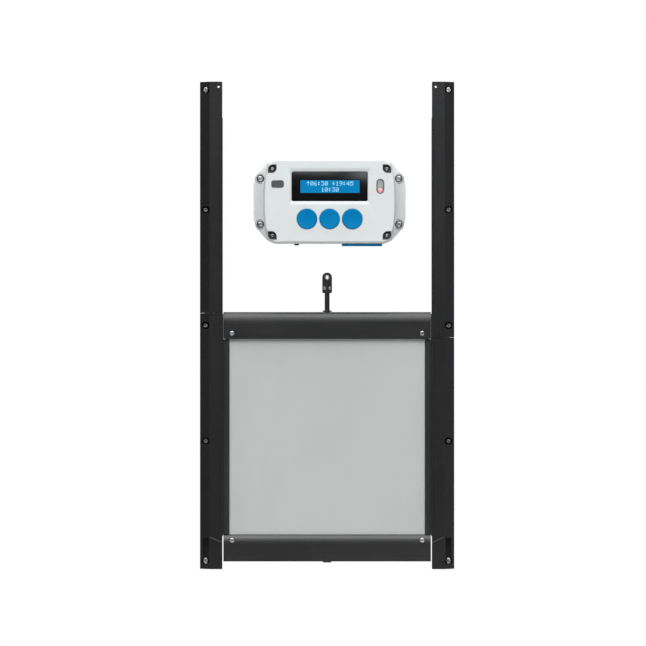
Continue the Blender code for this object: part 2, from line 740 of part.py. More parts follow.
def bottom_bar(finish):
    made = prism(
        "bottom_bar", bar_outline(DOOR_BOTTOM, BOTTOM_BAR_TOP), "X", -BAR_HALF_LENGTH, BAR_HALF_LENGTH
    )
    ends = (-BAR_HALF_LENGTH - OVERCUT, BAR_HALF_LENGTH + OVERCUT)
    half_width, _, cam_top = cam_edges()
    bolt_front, bolt_back = bolt_faces()
    half_cam = CAM_THICKNESS / 2 + LOCK_CLEAR
    half_bolt = BOLT_HEIGHT / 2 + LOCK_CLEAR
    floor = DOOR_BOTTOM + BAR_WALL
    half_foot = FOOT_WIDTH / 2 + SLIDE_CLEAR
    made.data.materials.append(finish)
    cut(made, [
        panel_slot("bottom_bar_slot", BOTTOM_BAR_TOP - SLOT_DEPTH, BOTTOM_BAR_TOP + OVERCUT),
        block(
            "bottom_bar_bolt_tunnel",
            ends,
            (bolt_front - LOCK_CLEAR, bolt_back + LOCK_CLEAR),
            (BOLT_Z - half_bolt, BOLT_Z + half_bolt),
        ),
        block(
            "bottom_bar_cam_pocket",
            (-half_width - SLIDE_CLEAR, half_width + SLIDE_CLEAR),
            (ROD_Y - half_cam, ROD_Y + half_cam),
            (floor, cam_top + SLIDE_CLEAR),
        ),
        block(
            "bottom_bar_hollow",
            ends,
            (-BAR_FRONT + BAR_WALL, -BAR_BACK - BAR_WALL),
            (floor - CLEAR, BOLT_Z - half_bolt - BAR_WALL),
        ),
        block(
            "bottom_bar_foot_window",
            (-half_foot, half_foot),
            (ROD_Y - half_cam - CLEAR, ROD_Y + half_cam + CLEAR),
            (DOOR_BOTTOM - OVERCUT, floor + OVERCUT),
        ),
        rod_hole("bottom_bar_rod_hole", cam_top - LOCK_TRAVEL - SLIDE_CLEAR, BOTTOM_BAR_TOP + OVERCUT),
        *screw_seats("bottom_bar", BOTTOM_BAR_TOP - DOOR_SCREW_DROP),
    ])
    return made


def door_panel(finish):
    half = STILE_INNER + GROOVE_DEPTH
    low, high = BOTTOM_BAR_TOP - PANEL_LAP, TOP_BAR_BOTTOM + PANEL_LAP
    made = block("door_panel", (-half, half), (-PANEL_FRONT, -PANEL_BACK), (low, high))
    made.data.materials.append(finish)
    radius = (DOOR_SCREW_SHANK + HOLE_CLEAR) / 2
    holes = []
    for _, sign in SIDES:
        for z in (TOP_BAR_BOTTOM + DOOR_SCREW_DROP, BOTTOM_BAR_TOP - DOOR_SCREW_DROP):
            centre = (sign * DOOR_SCREW_X, z)
            ends = (-PANEL_FRONT - OVERCUT, -PANEL_BACK + OVERCUT)
            holes.append(rod_between("hole", radius, "Y", centre, *ends, 12))
    cut(made, holes)
    return made


def stile(name, sign, finish):
    """A door side: a grooved neck for the panel and a thick tongue that runs in the channel."""
    head_front = -RUNNER_DEPTH + RUNNER_WALL + SLIDE_CLEAR
    head_back = -RUNNER_WALL - SLIDE_CLEAR
    head_outer = WEB_INNER - SLIDE_CLEAR
    groove = STILE_INNER + GROOVE_DEPTH + CLEAR
    outline = [
        (STILE_INNER, -STILE_FRONT),
        (STILE_NECK, -STILE_FRONT),
        (STILE_NECK, head_front),
        (head_outer, head_front),
        (head_outer, head_back),
        (STILE_NECK, head_back),
        (STILE_NECK, -STILE_BACK),
        (STILE_INNER, -STILE_BACK),
        (STILE_INNER, -SLOT_BACK),
        (groove, -SLOT_BACK),
        (groove, -SLOT_FRONT),
        (STILE_INNER, -SLOT_FRONT),
    ]
    made = prism(name, mirrored(outline, sign), "Z", TONGUE_BOTTOM, TONGUE_TOP)
    hollow = [
        (STILE_NECK + STILE_HEAD_WALL, head_front + STILE_HEAD_WALL),
        (head_outer - STILE_HEAD_WALL, head_front + STILE_HEAD_WALL),
        (head_outer - STILE_HEAD_WALL, head_back - STILE_HEAD_WALL),
        (STILE_NECK + STILE_HEAD_WALL, head_back - STILE_HEAD_WALL),
    ]
    neck = sorted((sign * (STILE_INNER - OVERCUT), sign * (BAR_HALF_LENGTH + CLEAR)))
    depth = (-RUNNER_DEPTH, 0.0)
    cut(made, [
        prism(f"{name}_hollow", mirrored(hollow, sign), "Z", TONGUE_BOTTOM - OVERCUT, TONGUE_TOP + OVERCUT),
        block(f"{name}_top_notch", neck, depth, (TOP_BAR_BOTTOM - CLEAR, TONGUE_TOP + OVERCUT)),
        block(f"{name}_bottom_notch", neck, depth, (TONGUE_BOTTOM - OVERCUT, BOTTOM_BAR_TOP + CLEAR)),
    ])
    made.data.materials.append(finish)
    return made


def door_screw(name, sign, z, finish):
    seat = -BAR_FRONT + DOOR_SCREW_SEAT - CLEAR
    top = seat - DOOR_SCREW_HEAD_HEIGHT
    head, shank = DOOR_SCREW_HEAD / 2, DOOR_SCREW_SHANK / 2
    profile = [
        (0.0, top),
        (head * 0.7, top + DOOR_SCREW_HEAD_HEIGHT * 0.18),
        (head, top + DOOR_SCREW_HEAD_HEIGHT * 0.55),
        (head, seat),
        (shank, seat),
        (shank, seat + DOOR_SCREW_LENGTH),
        (0.0, seat + DOOR_SCREW_LENGTH),
    ]
    made = turned(name, profile, "Y", (sign * DOOR_SCREW_X, z), 14)
    made.data.materials.append(finish)
    return made


def rod_collar(finish):
    bore, base = ROD_HOLE / 2, TOP_BAR_TOP + CLEAR
    profile = [
        (bore, base),
        (bore + COLLAR_RIM, base),
        (bore + COLLAR_RIM, base + COLLAR_HEIGHT * 0.4),
        (bore + COLLAR_RIM - COLLAR_TAPER, base + COLLAR_HEIGHT),
        (bore, base + COLLAR_HEIGHT),
    ]
    made = turned("rod_collar", profile, "Z", (0.0, ROD_Y), ring=True)
    made.data.materials.append(finish)
    return made


def lift_rod(finish):
    _, _, cam_top = cam_edges()
    top = EYE_BOTTOM + EYE_SOCKET_DEPTH - CLEAR
    made = rod_between("lift_rod", ROD / 2, "Z", (0.0, ROD_Y), cam_top + CLEAR, top)
    made.data.materials.append(finish)
    return made


def lifter_eye(finish):
    """The eye that the lifting cord ties to, clamped on the top of the rod."""
    radius = EYE_WIDTH / 2
    top = EYE_BOTTOM + EYE_HEIGHT
    crown = arc((0.0, top - radius), (radius, radius), 0, 180, 10)
    outline = [(-radius, EYE_BOTTOM), (radius, EYE_BOTTOM), *crown]
    half = EYE_THICKNESS / 2
    made = prism("lifter_eye", outline, "Y", ROD_Y - half, ROD_Y + half)
    socket_top = EYE_BOTTOM + EYE_SOCKET_DEPTH
    centre = (0.0, ROD_Y)
    boss_top = socket_top + EYE_SOCKET_WALL
    boss = rod_between("eye_boss", EYE_SOCKET / 2, "Z", centre, EYE_BOTTOM - CLEAR, boss_top)
    join(made, [boss])
    cut(made, [
        rod_between("eye_socket", ROD / 2 + CLEAR, "Z", centre, EYE_BOTTOM - OVERCUT, socket_top, 20),
        rod_between(
            "eye_hole", EYE_HOLE / 2, "Y", (0.0, top - radius), ROD_Y - radius, ROD_Y + radius, 16
        ),
    ])
    made.data.materials.append(finish)
    return made


def cam_plate(finish):
    """The plate under the rod whose two slanted slots drive the lock bolts."""
    half_width, low, high = cam_edges()
    foot, foot_bottom = FOOT_WIDTH / 2, DOOR_BOTTOM - FOOT_REACH
    outline = [
        (-foot, foot_bottom),
        (foot, foot_bottom),
        (foot, low),
        (half_width, low),
        (half_width, high),
        (-half_width, high),
        (-half_width, low),
        (-foot, low),
    ]
    half = CAM_THICKNESS / 2
    made = prism("cam_plate", outline, "Y", ROD_Y - half, ROD_Y + half)
    slots = []
    for side, sign in SIDES:
        start = (sign * BOLT_PIN_X, BOLT_Z)
        end = (sign * (BOLT_PIN_X + LOCK_TRAVEL), BOLT_Z + LOCK_TRAVEL)
        slot = slot_outline(start, end, (BOLT_PIN + HOLE_CLEAR) / 2)
        slots.append(prism(f"cam_slot_{side}", slot, "Y", ROD_Y - half - OVERCUT, ROD_Y + half + OVERCUT))
    cut(made, slots)
    made.data.materials.append(finish)
    return made


def lock_bolt(name, sign, finish):
    """A flat bolt with the pin that runs in the cam plate's slot."""
    front, back = bolt_faces()
    inner = BOLT_PIN_X - BOLT_PIN
    outer = BAR_HALF_LENGTH - 2 * CLEAR
    half = BOLT_HEIGHT / 2
    reach = sorted((sign * inner, sign * outer))
    made = block(name, reach, (front, back), (BOLT_Z - half, BOLT_Z + half))
    centre = (sign * BOLT_PIN_X, BOLT_Z)
    pin_end = ROD_Y + CAM_THICKNESS / 2 + CLEAR
    join(made, [rod_between(f"{name}_pin", BOLT_PIN / 2, "Y", centre, (front + back) / 2, pin_end, 16)])
    made.data.materials.append(finish)
    return made


def build_door(parts, rod_parts, bolts, finish):
    parts += [
        door_panel(finish["panel"]),
        top_bar(finish["bar"]),
        bottom_bar(finish["bar"]),
        rod_collar(finish["bar"]),
    ]
    heights = (
        ("top", TOP_BAR_BOTTOM + DOOR_SCREW_DROP),
        ("bottom", BOTTOM_BAR_TOP - DOOR_SCREW_DROP),
    )
    for side, sign in SIDES:
        parts.append(stile(f"{side}_stile", sign, finish["runner"]))
        for row, z in heights:
            parts.append(door_screw(f"door_screw_{row}_{side}", sign, z, finish["steel"]))
        bolts[side].append(lock_bolt(f"lock_bolt_{side}", sign, finish["steel"]))
    rod_parts += [lift_rod(finish["bar"]), lifter_eye(finish["bar"]), cam_plate(finish["bar"])]


# --- motor unit ------------------------------------------------------------------------


def ear_outline():
    return box_outline(EAR_CORNERS, BOX_HALF_WIDTH)


def dome_outline():
    return box_outline(DOME_CORNERS, DOME_HALF_WIDTH)


def cavity_outline(margin=0.0):
    inner = BOX_HEIGHT / 2 - BOX_WALL
    outline = box_outline(CAVITY_CORNERS, DOME_HALF_WIDTH - BOX_WALL, inner)
    return rounded(inset(outline, margin), CAVITY_RADIUS)


def soft(outline, distance=0.0):
    return rounded(inset(outline, distance), OUTLINE_RADIUS)


def leaf_outline(sign_x, sign_z):
    """A corner pocket with its outer and inner corners rounded and the other two sharp."""
    half = LEAF_SIZE / 2
    radius = half * 1.15
    quarter = arc((half - radius, half - radius), (radius, radius), 0, 90, 5)
    points = [(half, -half), *quarter, (-half, half), *[(-x, -z) for x, z in quarter]]
    return [(sign_x * (CASE_SCREW_X + x), case_screw_z(sign_z) + sign_z * z) for x, z in points]


def case_screw_z(sign_z):
    """Height of the upper or the lower case screws over the unit's middle."""
    if sign_z > 0:
        return BOX_HEIGHT / 2 - CASE_SCREW_DROP
    return CASE_SCREW_RISE - BOX_HEIGHT / 2


def corner_signs():
    return [("upper_left", -1, 1), ("upper_right", 1, 1), ("lower_left", -1, -1), ("lower_right", 1, -1)]


def drawer_bay(name, shell_front):
    """The way the battery drawer slides in through the bottom of the unit."""
    half = drawer_half_width() + SLIDE_CLEAR
    front = min(shell_front, DRAWER_BACK + DRAWER_DEPTH + SLIDE_CLEAR)
    return block(
        name,
        (DRAWER_X - half, DRAWER_X + half),
        (box_y(front), box_y(DRAWER_BACK - SLIDE_CLEAR)),
        (BOX_BOTTOM - OVERCUT, DRAWER_TOP + SLIDE_CLEAR),
    )


def drawer_half_width():
    return CELL_LENGTH / 2 + CLEAR + DRAWER_WALL


def case_back(finish):
    """The rear shell with its two fixing ears."""
    made = box_stack("case_back", (
        (soft(ear_outline(), REAR_EDGE), 0.0),
        (soft(ear_outline()), REAR_EDGE),
        (soft(ear_outline()), EAR_DEPTH),
        (soft(dome_outline()), DOME_START),
        (soft(dome_outline()), SEAM_DEPTH),
    ))
    outlet = (SPOOL_X, box_y(outlet_depth()))
    radius = (OUTLET_BORE + HOLE_CLEAR) / 2 + OUTLET_WALL
    tools = [
        box_stack("case_back_hollow", (
            (cavity_outline(), BOX_WALL),
            (cavity_outline(), SEAM_DEPTH + OVERCUT),
        )),
        drawer_bay("case_back_bay", SEAM_DEPTH + OVERCUT),
        rod_between("outlet", radius, "Z", outlet, BOX_BOTTOM - OVERCUT, BOX_BOTTOM + 2 * BOX_WALL, 16),
    ]
    seat = box_y(EAR_DEPTH - MOUNT_COUNTERBORE_DEPTH)
    counterbore = MOUNT_SCREW_HEAD / 2 + MOUNT_COUNTERBORE_GAP
    ear_hole, boss_hole = (MOUNT_SCREW_SHANK + HOLE_CLEAR) / 2, (CASE_SCREW_SHANK + HOLE_CLEAR) / 2
    for _, sx, sz in corner_signs():
        ear, boss = at_box([
            (sx * MOUNT_SCREW_X, sz * MOUNT_SCREW_Z),
            (sx * CASE_SCREW_X, case_screw_z(sz)),
        ])
        tools.append(rod_between("seat", counterbore, "Y", ear, box_y(DOME_START + OVERCUT), seat, 16))
        tools.append(rod_between("ear_hole", ear_hole, "Y", ear, seat - OVERCUT, box_y(-OVERCUT), 12))
        ends = (box_y(SEAM_DEPTH + OVERCUT), box_y(CASE_SCREW_END - CLEAR))
        tools.append(rod_between("boss_hole", boss_hole, "Y", boss, *ends, 10))
    cut(made, tools)
    made.data.materials.append(finish)
    return made


def case_seal(finish):
    outer, inner = soft(dome_outline(), SEAL_INSET), soft(dome_outline(), SEAL_INSET + SEAL_WIDTH)
    low = SEAM_DEPTH + CLEAR
    high = low + SEAL_THICKNESS
    made = box_stack("case_seal", ((outer, low), (outer, high)))
    cut(made, [
        box_stack("case_seal_inside", ((inner, low - OVERCUT), (inner, high + OVERCUT))),
        drawer_bay("case_seal_bay", BOX_DEPTH),
    ])
    made.data.materials.append(finish)
    return made


def case_front(finish):
    """The front cover: a rolled edge, a sunk display field and openings for what shows."""
    rings = [(soft(dome_outline()), FRONT_START)]
    rings += [(soft(dome_outline(), shrink * MM), BOX_DEPTH - back * MM) for back, shrink in FACE_EDGE]
    made = box_stack("case_front", rings)
    outside, inside = box_y(BOX_DEPTH + OVERCUT), box_y(FACE_INNER - OVERCUT)
    opening = (DISPLAY_Z - DISPLAY_HEIGHT / 2 - CLEAR, DISPLAY_Z + DISPLAY_HEIGHT / 2 + CLEAR)
    tools = [
        box_stack("case_front_hollow", ((cavity_outline(), SEAM_DEPTH), (cavity_outline(), FACE_INNER))),
        drawer_bay("case_front_bay", BOX_DEPTH),
        display_field(),
        block("display_opening", display_span(DISPLAY_WIDTH / 2 + CLEAR), (outside, inside), opening),
        prism("pill_opening", pill_outline(CLEAR), "Y", outside, inside),
    ]
    for x in button_places():
        centre = (x, BUTTON_Z)
        tools.append(rod_between("button_opening", BUTTON / 2 + CLEAR, "Y", centre, outside, inside, 24))
    hole = (CASE_SCREW_SHANK + HOLE_CLEAR) / 2
    for _, sx, sz in corner_signs():
        boss = at_box([(sx * CASE_SCREW_X, case_screw_z(sz))])[0]
        tools.append(prism("leaf", at_box(leaf_outline(sx, sz)), "Y", outside, box_y(LEAF_FLOOR)))
        ends = (box_y(LEAF_FLOOR + OVERCUT), box_y(SEAM_DEPTH))
        tools.append(rod_between("boss_hole", hole, "Y", boss, *ends, 10))
    cut(made, tools)
    made.data.materials.append(finish)
    return made


def display_span(half):
    return (BOX_X - half, BOX_X + half)


def display_field():
    """The sunk field round the display, with a long slope under it and a short one over it."""
    low, high = DISPLAY_Z - DISPLAY_HEIGHT / 2, DISPLAY_Z + DISPLAY_HEIGHT / 2
    half = DISPLAY_WIDTH / 2

    def frame(reach, below, above):
        left, right = display_span(half + reach)
        return [(left, low - below), (right, low - below), (right, high + above), (left, high + above)]

    floor = frame(CLEAR, CLEAR, CLEAR)
    rim = frame(LEDGE_REACH, LEDGE_HEIGHT, BROW_HEIGHT)
    extra = 1 + OVERCUT / DISPLAY_RECESS
    beyond = [
        (fx + (rx - fx) * extra, fz + (rz - fz) * extra) for (fx, fz), (rx, rz) in zip(floor, rim)
    ]
    rings = ((floor, box_y(BOX_DEPTH - DISPLAY_RECESS)), (beyond, box_y(BOX_DEPTH + OVERCUT)))
    return stack("display_field", rings, "Y")


def pill_outline(margin=0.0):
    radius = PILL_WIDTH / 2
    reach = PILL_HEIGHT / 2 - radius
    return slot_outline((PILL_X, PILL_Z - reach), (PILL_X, PILL_Z + reach), radius + margin, 10)


def button_places():
    return [BOX_X + step * BUTTON_PITCH for step in (-1, 0, 1)]


def display_window(finish):
    front = BOX_DEPTH - DISPLAY_RECESS
    made = block(
        "display_window",
        display_span(DISPLAY_WIDTH / 2),
        (box_y(front - CLEAR), box_y(front - CLEAR - DISPLAY_THICKNESS)),
        (DISPLAY_Z - DISPLAY_HEIGHT / 2, DISPLAY_Z + DISPLAY_HEIGHT / 2),
    )
    made.data.materials.append(finish)
    return made


def board_front():
    return BOARD_BACK + BOARD_THICKNESS


def lcd_module(finish):
    back = board_front() + CLEAR
    made = block(
        "lcd_module",
        display_span(DISPLAY_WIDTH / 2 - LCD_BORDER),
        (box_y(FACE_INNER - CLEAR), box_y(back)),
        (DISPLAY_Z - LCD_HEIGHT / 2, DISPLAY_Z + LCD_HEIGHT / 2),
    )
    made.data.materials.append(finish)
    return made


def circuit_board(finish):
    outline = cavity_outline(BOX_WALL)
    made = box_stack("circuit_board", ((outline, BOARD_BACK), (outline, board_front())))
    made.data.materials.append(finish)
    return made


def button(name, x, finish):
    """A dished push button with a flange inside the face and a stem to its switch."""
    radius = BUTTON / 2
    flange_front = FACE_INNER - CLEAR
    flange_back = flange_front - BUTTON_FLANGE
    face = BOX_DEPTH + BUTTON_PROUD
    stem = board_front() + CLEAR + BUTTON_TRAVEL
    depths = [
        (0.0, face - BUTTON_DISH),
        (radius * 0.5, face - BUTTON_DISH * 0.7),
        (radius - BUTTON_EDGE, face),
        (radius, face - BUTTON_EDGE),
        (radius, flange_front),
        (radius + BUTTON_FLANGE, flange_front),
        (radius + BUTTON_FLANGE, flange_back),
        (BUTTON_STEM / 2, flange_back),
        (BUTTON_STEM / 2, stem),
        (0.0, stem),
    ]
    made = turned(name, [(r, box_y(depth)) for r, depth in depths], "Y", (x, BUTTON_Z), 24)
    made.data.materials.append(finish)
    return made


def sensor_window(finish):
    back, front = FACE_INNER + CLEAR, BOX_DEPTH - CLEAR
    made = prism("sensor_window", pill_outline(-CLEAR), "Y", box_y(front), box_y(back))
    made.data.materials.append(finish)
    return made


def status_led(finish):
    radius = LED / 2
    base, tip = board_front() + CLEAR, FACE_INNER - CLEAR
    depths = [
        (0.0, base),
        (radius + LED_RIM, base),
        (radius + LED_RIM, base + LED_RIM_HEIGHT),
        (radius, base + LED_RIM_HEIGHT),
        (radius, tip - radius),
        (radius * 0.7, tip - radius * 0.3),
        (0.0, tip),
    ]
    centre = (PILL_X, PILL_Z - LED_BELOW_PILL)
    made = turned("status_led", [(r, box_y(depth)) for r, depth in depths], "Y", centre, 16)
    made.data.materials.append(finish)
    return made


def outlet_depth():
    """The cord leaves the back of the drum and drops straight out of the unit."""
    return SPOOL_DEPTH - DRUM_RADIUS


def cord_outlet(finish):
    """The flanged bush that the lifting cord runs out through."""
    bore, radius = OUTLET_BORE / 2, OUTLET_BORE / 2 + OUTLET_WALL
    bottom, top = BOX_BOTTOM - OUTLET_PROUD, BOX_BOTTOM + BOX_WALL + CLEAR
    profile = [
        (bore, bottom),
        (radius - OUTLET_EDGE, bottom),
        (radius, bottom + OUTLET_EDGE),
        (radius, top),
        (radius + OUTLET_FLANGE, top),
        (radius + OUTLET_FLANGE, top + OUTLET_FLANGE_HEIGHT),
        (bore, top + OUTLET_FLANGE_HEIGHT),
    ]
    made = turned("cord_outlet", profile, "Z", (SPOOL_X, box_y(outlet_depth())), 20, ring=True)
    made.data.materials.append(finish)
    return made


def gearbox_start():
    return SPOOL_X + DRUM_LENGTH / 2 + SPOOL_FLANGE + SLIDE_CLEAR


def gear_motor(finish):
    """The motor with its gearbox, which has the bearing of the spool's shaft."""
    start = gearbox_start()
    bearing = SHAFT / 2 + CLEAR
    profile = [
        (0.0, start + SHAFT_REACH),
        (bearing, start + SHAFT_REACH),
        (bearing, start),
        (GEARBOX_RADIUS, start),
        (GEARBOX_RADIUS, start + GEARBOX_LENGTH),
        (MOTOR_RADIUS, start + GEARBOX_LENGTH),
        (MOTOR_RADIUS, start + GEARBOX_LENGTH + MOTOR_LENGTH),
        (0.0, start + GEARBOX_LENGTH + MOTOR_LENGTH),
    ]
    made = turned("gear_motor", profile, "X", (box_y(SPOOL_DEPTH), SPOOL_Z))
    made.data.materials.append(finish)
    return made


def spool(finish):
    """The drum that winds the cord, with its shaft."""
    inner, outer = DRUM_LENGTH / 2, DRUM_LENGTH / 2 + SPOOL_FLANGE
    flange = DRUM_RADIUS + SPOOL_RIM
    shaft_end = gearbox_start() + SHAFT_REACH - CLEAR
    profile = [
        (0.0, SPOOL_X - outer - SHAFT),
        (SHAFT / 2, SPOOL_X - outer - SHAFT),
        (SHAFT / 2, SPOOL_X - outer),
        (flange, SPOOL_X - outer),
        (flange, SPOOL_X - inner),
        (DRUM_RADIUS, SPOOL_X - inner),
        (DRUM_RADIUS, SPOOL_X + inner),
        (flange, SPOOL_X + inner),
        (flange, SPOOL_X + outer),
        (SHAFT / 2, SPOOL_X + outer),
        (SHAFT / 2, shaft_end),
        (0.0, shaft_end),
    ]
    made = turned("spool", profile, "X", (box_y(SPOOL_DEPTH), SPOOL_Z))
    made.data.materials.append(finish)
    return made


def fixing_screw(name, x, z, seat_depth, end_depth, head, shank, height, finish):
    """A pan head screw of the motor unit."""
    depths = [
        (0.0, seat_depth + height),
        (head * 0.35, seat_depth + height * 0.9),
        (head * 0.5, seat_depth + height * 0.5),
        (head * 0.5, seat_depth),
        (shank * 0.5, seat_depth),
        (shank * 0.5, end_depth),
        (0.0, end_depth),
    ]
    made = turned(name, [(r, box_y(depth)) for r, depth in depths], "Y", (x, z), 14)
    made.data.materials.append(finish)
    return made


def unit_screws(finish):
    made = []
    for corner, sx, sz in corner_signs():
        x, z = at_box([(sx * MOUNT_SCREW_X, sz * MOUNT_SCREW_Z)])[0]
        seat = EAR_DEPTH - MOUNT_COUNTERBORE_DEPTH + CLEAR
        made.append(fixing_screw(
            f"mount_screw_{corner}", x, z, seat, CLEAR,
            MOUNT_SCREW_HEAD, MOUNT_SCREW_SHANK, MOUNT_SCREW_HEAD_HEIGHT, finish,
        ))
        x, z = at_box([(sx * CASE_SCREW_X, case_screw_z(sz))])[0]
        made.append(fixing_screw(
            f"case_screw_{corner}", x, z, LEAF_FLOOR + CLEAR, CASE_SCREW_END,
            CASE_SCREW_HEAD, CASE_SCREW_SHANK, CASE_SCREW_HEAD_HEIGHT, finish,
        ))
    return made


def battery_drawer(finish):
    """The tray for the cells, closed by its coloured cap under the unit."""
    half = drawer_half_width()
    low, high = BOX_BOTTOM - CLEAR - DRAWER_CAP, BOX_BOTTOM - CLEAR
    floor = BOX_BOTTOM + BOX_WALL
    back, front = box_y(DRAWER_BACK), box_y(DRAWER_BACK + DRAWER_DEPTH)
    sides = (DRAWER_X - half, DRAWER_X + half)
    made = block("battery_drawer", sides, (front, back), (high - CLEAR, DRAWER_TOP))
    cap = block(
        "drawer_cap",
        (DRAWER_X - half - DRAWER_CAP_LIP, DRAWER_X + half + DRAWER_CAP_LIP),
        (front - DRAWER_CAP_LIP, back + DRAWER_CAP_LIP),
        (low, high),
    )
    inner = block(
        "drawer_inside",
        (DRAWER_X - half + DRAWER_WALL, DRAWER_X + half - DRAWER_WALL),
        (front - OVERCUT, back - DRAWER_WALL),
        (floor, DRAWER_TOP - DRAWER_WALL),
    )
    join(made, [cap])
    cut(made, [inner])
    made.data.materials.append(finish)
    return made


def cell(name, depth, z, turn, finish):
    """One battery, its raised end towards +X or -X."""
    start, end = DRAWER_X - turn * CELL_LENGTH / 2, DRAWER_X + turn * CELL_LENGTH / 2
    shoulder = end - turn * CELL_NUB_LENGTH
    radius = CELL / 2
    profile = [
        (0.0, start),
        (radius - CELL_EDGE, start),
        (radius, start + turn * CELL_EDGE),
        (radius, shoulder - turn * CELL_EDGE),
        (radius - CELL_EDGE, shoulder),
        (CELL_NUB / 2, shoulder),
        (CELL_NUB / 2, end),
        (0.0, end),
    ]
    made = turned(name, profile, "X", (box_y(depth), z), 14)
    made.data.materials.append(finish)
    return made


def cells(finish):
    made = []
    pitch = CELL + CLEAR
    first_depth = DRAWER_BACK + DRAWER_WALL + CLEAR + CELL / 2
    first_z = BOX_BOTTOM + BOX_WALL + CLEAR + CELL / 2
    for row in (0, 1):
        for column in (0, 1):
            name = f"cell_{1 + column + 2 * row}"
            depth, z = first_depth + column * pitch, first_z + row * pitch
            made.append(cell(name, depth, z, 1 - 2 * column, finish))
    return made


def build_unit(parts, finish):
    parts += [
        case_back(finish["case"]),
        case_seal(finish["strip"]),
        case_front(finish["case"]),
        display_window(finish["glass"]),
        lcd_module(finish["blue"]),
        circuit_board(finish["board"]),
        sensor_window(finish["clear"]),
        status_led(finish["red"]),
        cord_outlet(finish["bar"]),
        gear_motor(finish["steel"]),
        *unit_screws(finish["steel"]),
    ]


# --- assembly --------------------------------------------------------------------------


def finishes():
    return {
        "runner": material("runner_black", (0.022, 0.022, 0.023), 0.5),
        "bar": material("bar_anodised", (0.030, 0.030, 0.032), 0.32, 0.6),
        "strip": material("strip_black", (0.008, 0.008, 0.008), 0.7),
        "panel": material("panel_grey", (0.50, 0.51, 0.51), 0.38, 0.3),
        "steel": material("steel", (0.55, 0.55, 0.56), 0.3, 1.0),
        "case": material("case_white", (0.75, 0.77, 0.77), 0.4),
        "blue": material("button_blue", (0.0, 0.23, 0.62), 0.4),
        "glass": material("display_black", (0.01, 0.01, 0.01), 0.12),
        "board": material("board_green", (0.02, 0.16, 0.06), 0.5),
        "clear": material("sensor_clear", (0.45, 0.46, 0.47), 0.2),
        "red": material("led_red", (0.7, 0.05, 0.08), 0.3),
        "cell": material("cell_sleeve", (0.10, 0.11, 0.13), 0.35, 0.4),
    }


def joint(name, point, parent=None):
    """An empty on a joint's axis."""
    made = bpy.data.objects.new(name, None)
    bpy.context.scene.collection.objects.link(made)
    made.empty_display_size = 0.02
    made.location = Vector(point) - (joint_point(parent) if parent else Vector())
    made["point"] = point
    made.parent = parent
    return made


def joint_point(empty):
    return Vector(empty["point"])


def hang(pieces, empty):
    """Puts pieces on a joint, their shapes staying where they are."""
    for piece in pieces:
        piece.parent = empty
        piece.matrix_parent_inverse = Matrix.Translation(-joint_point(empty))


def main():
    clear_scene()
    finish = finishes()
    frame = joint("frame", (0.0, 0.0, 0.0))
    fixed, door, rod, bolts = [], [], [], {"left": [], "right": []}
    build_runners(fixed, finish)
    build_door(door, rod, bolts, finish)
    build_unit(fixed, finish)
    hang(fixed, frame)

    door_joint = joint("door_slide", (0.0, -PANEL_FRONT, DOOR_BOTTOM), frame)
    hang(door, door_joint)
    rod_joint = joint("rod_slide", (0.0, ROD_Y, DOOR_BOTTOM), door_joint)
    hang(rod, rod_joint)
    for side, sign in SIDES:
        bolt_joint = joint(f"bolt_{side}_slide", (sign * BOLT_PIN_X, ROD_Y, BOLT_Z), door_joint)
        hang(bolts[side], bolt_joint)

    hang([spool(finish["runner"])], joint("spool_turn", (SPOOL_X, box_y(SPOOL_DEPTH), SPOOL_Z), frame))
    for number, x in enumerate(button_places(), start=1):
        press = joint(f"button_{number}_press", (x, box_y(BOX_DEPTH), BUTTON_Z), frame)
        hang([button(f"button_{number}", x, finish["blue"])], press)
    drawer_joint = joint("battery_drawer_slide", (DRAWER_X, box_y(DRAWER_BACK), BOX_BOTTOM), frame)
    hang([battery_drawer(finish["blue"]), *cells(finish["cell"])], drawer_joint)


main()
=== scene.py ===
"""Looks of an automatic coop door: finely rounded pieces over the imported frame.

Lengths are in metres, +Z is up, the wall plane is Y = 0 and the door's front faces -Y.
"""
import json
import math

import bmesh
import bpy
from mathutils import Matrix, Vector


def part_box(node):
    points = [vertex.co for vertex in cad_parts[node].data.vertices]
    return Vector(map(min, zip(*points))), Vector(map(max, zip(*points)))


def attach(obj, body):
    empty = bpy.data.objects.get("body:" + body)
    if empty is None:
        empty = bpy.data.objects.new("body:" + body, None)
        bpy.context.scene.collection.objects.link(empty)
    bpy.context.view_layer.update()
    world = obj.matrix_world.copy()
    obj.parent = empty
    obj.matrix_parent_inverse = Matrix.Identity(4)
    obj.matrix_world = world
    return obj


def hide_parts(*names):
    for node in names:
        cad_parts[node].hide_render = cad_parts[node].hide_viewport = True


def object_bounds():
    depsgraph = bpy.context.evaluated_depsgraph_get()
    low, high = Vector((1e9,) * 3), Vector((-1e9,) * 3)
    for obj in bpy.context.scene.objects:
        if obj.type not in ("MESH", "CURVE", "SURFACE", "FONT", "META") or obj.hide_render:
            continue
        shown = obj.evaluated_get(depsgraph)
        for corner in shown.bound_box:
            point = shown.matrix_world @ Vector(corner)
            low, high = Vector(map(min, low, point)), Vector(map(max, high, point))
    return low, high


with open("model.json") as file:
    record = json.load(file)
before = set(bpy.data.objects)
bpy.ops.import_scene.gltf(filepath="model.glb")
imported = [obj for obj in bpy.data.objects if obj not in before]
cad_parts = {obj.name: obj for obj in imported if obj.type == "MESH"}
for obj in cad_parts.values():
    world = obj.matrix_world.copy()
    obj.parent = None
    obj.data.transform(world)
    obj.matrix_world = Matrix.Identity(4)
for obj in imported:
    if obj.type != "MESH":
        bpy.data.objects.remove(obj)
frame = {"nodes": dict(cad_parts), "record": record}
CAD_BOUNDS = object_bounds()
RECORD = frame["record"]
NODES = frame["nodes"]
BODY = {node: body for body, nodes in RECORD["behaviour"]["bodies"].items() for node in nodes}
MM = 0.001
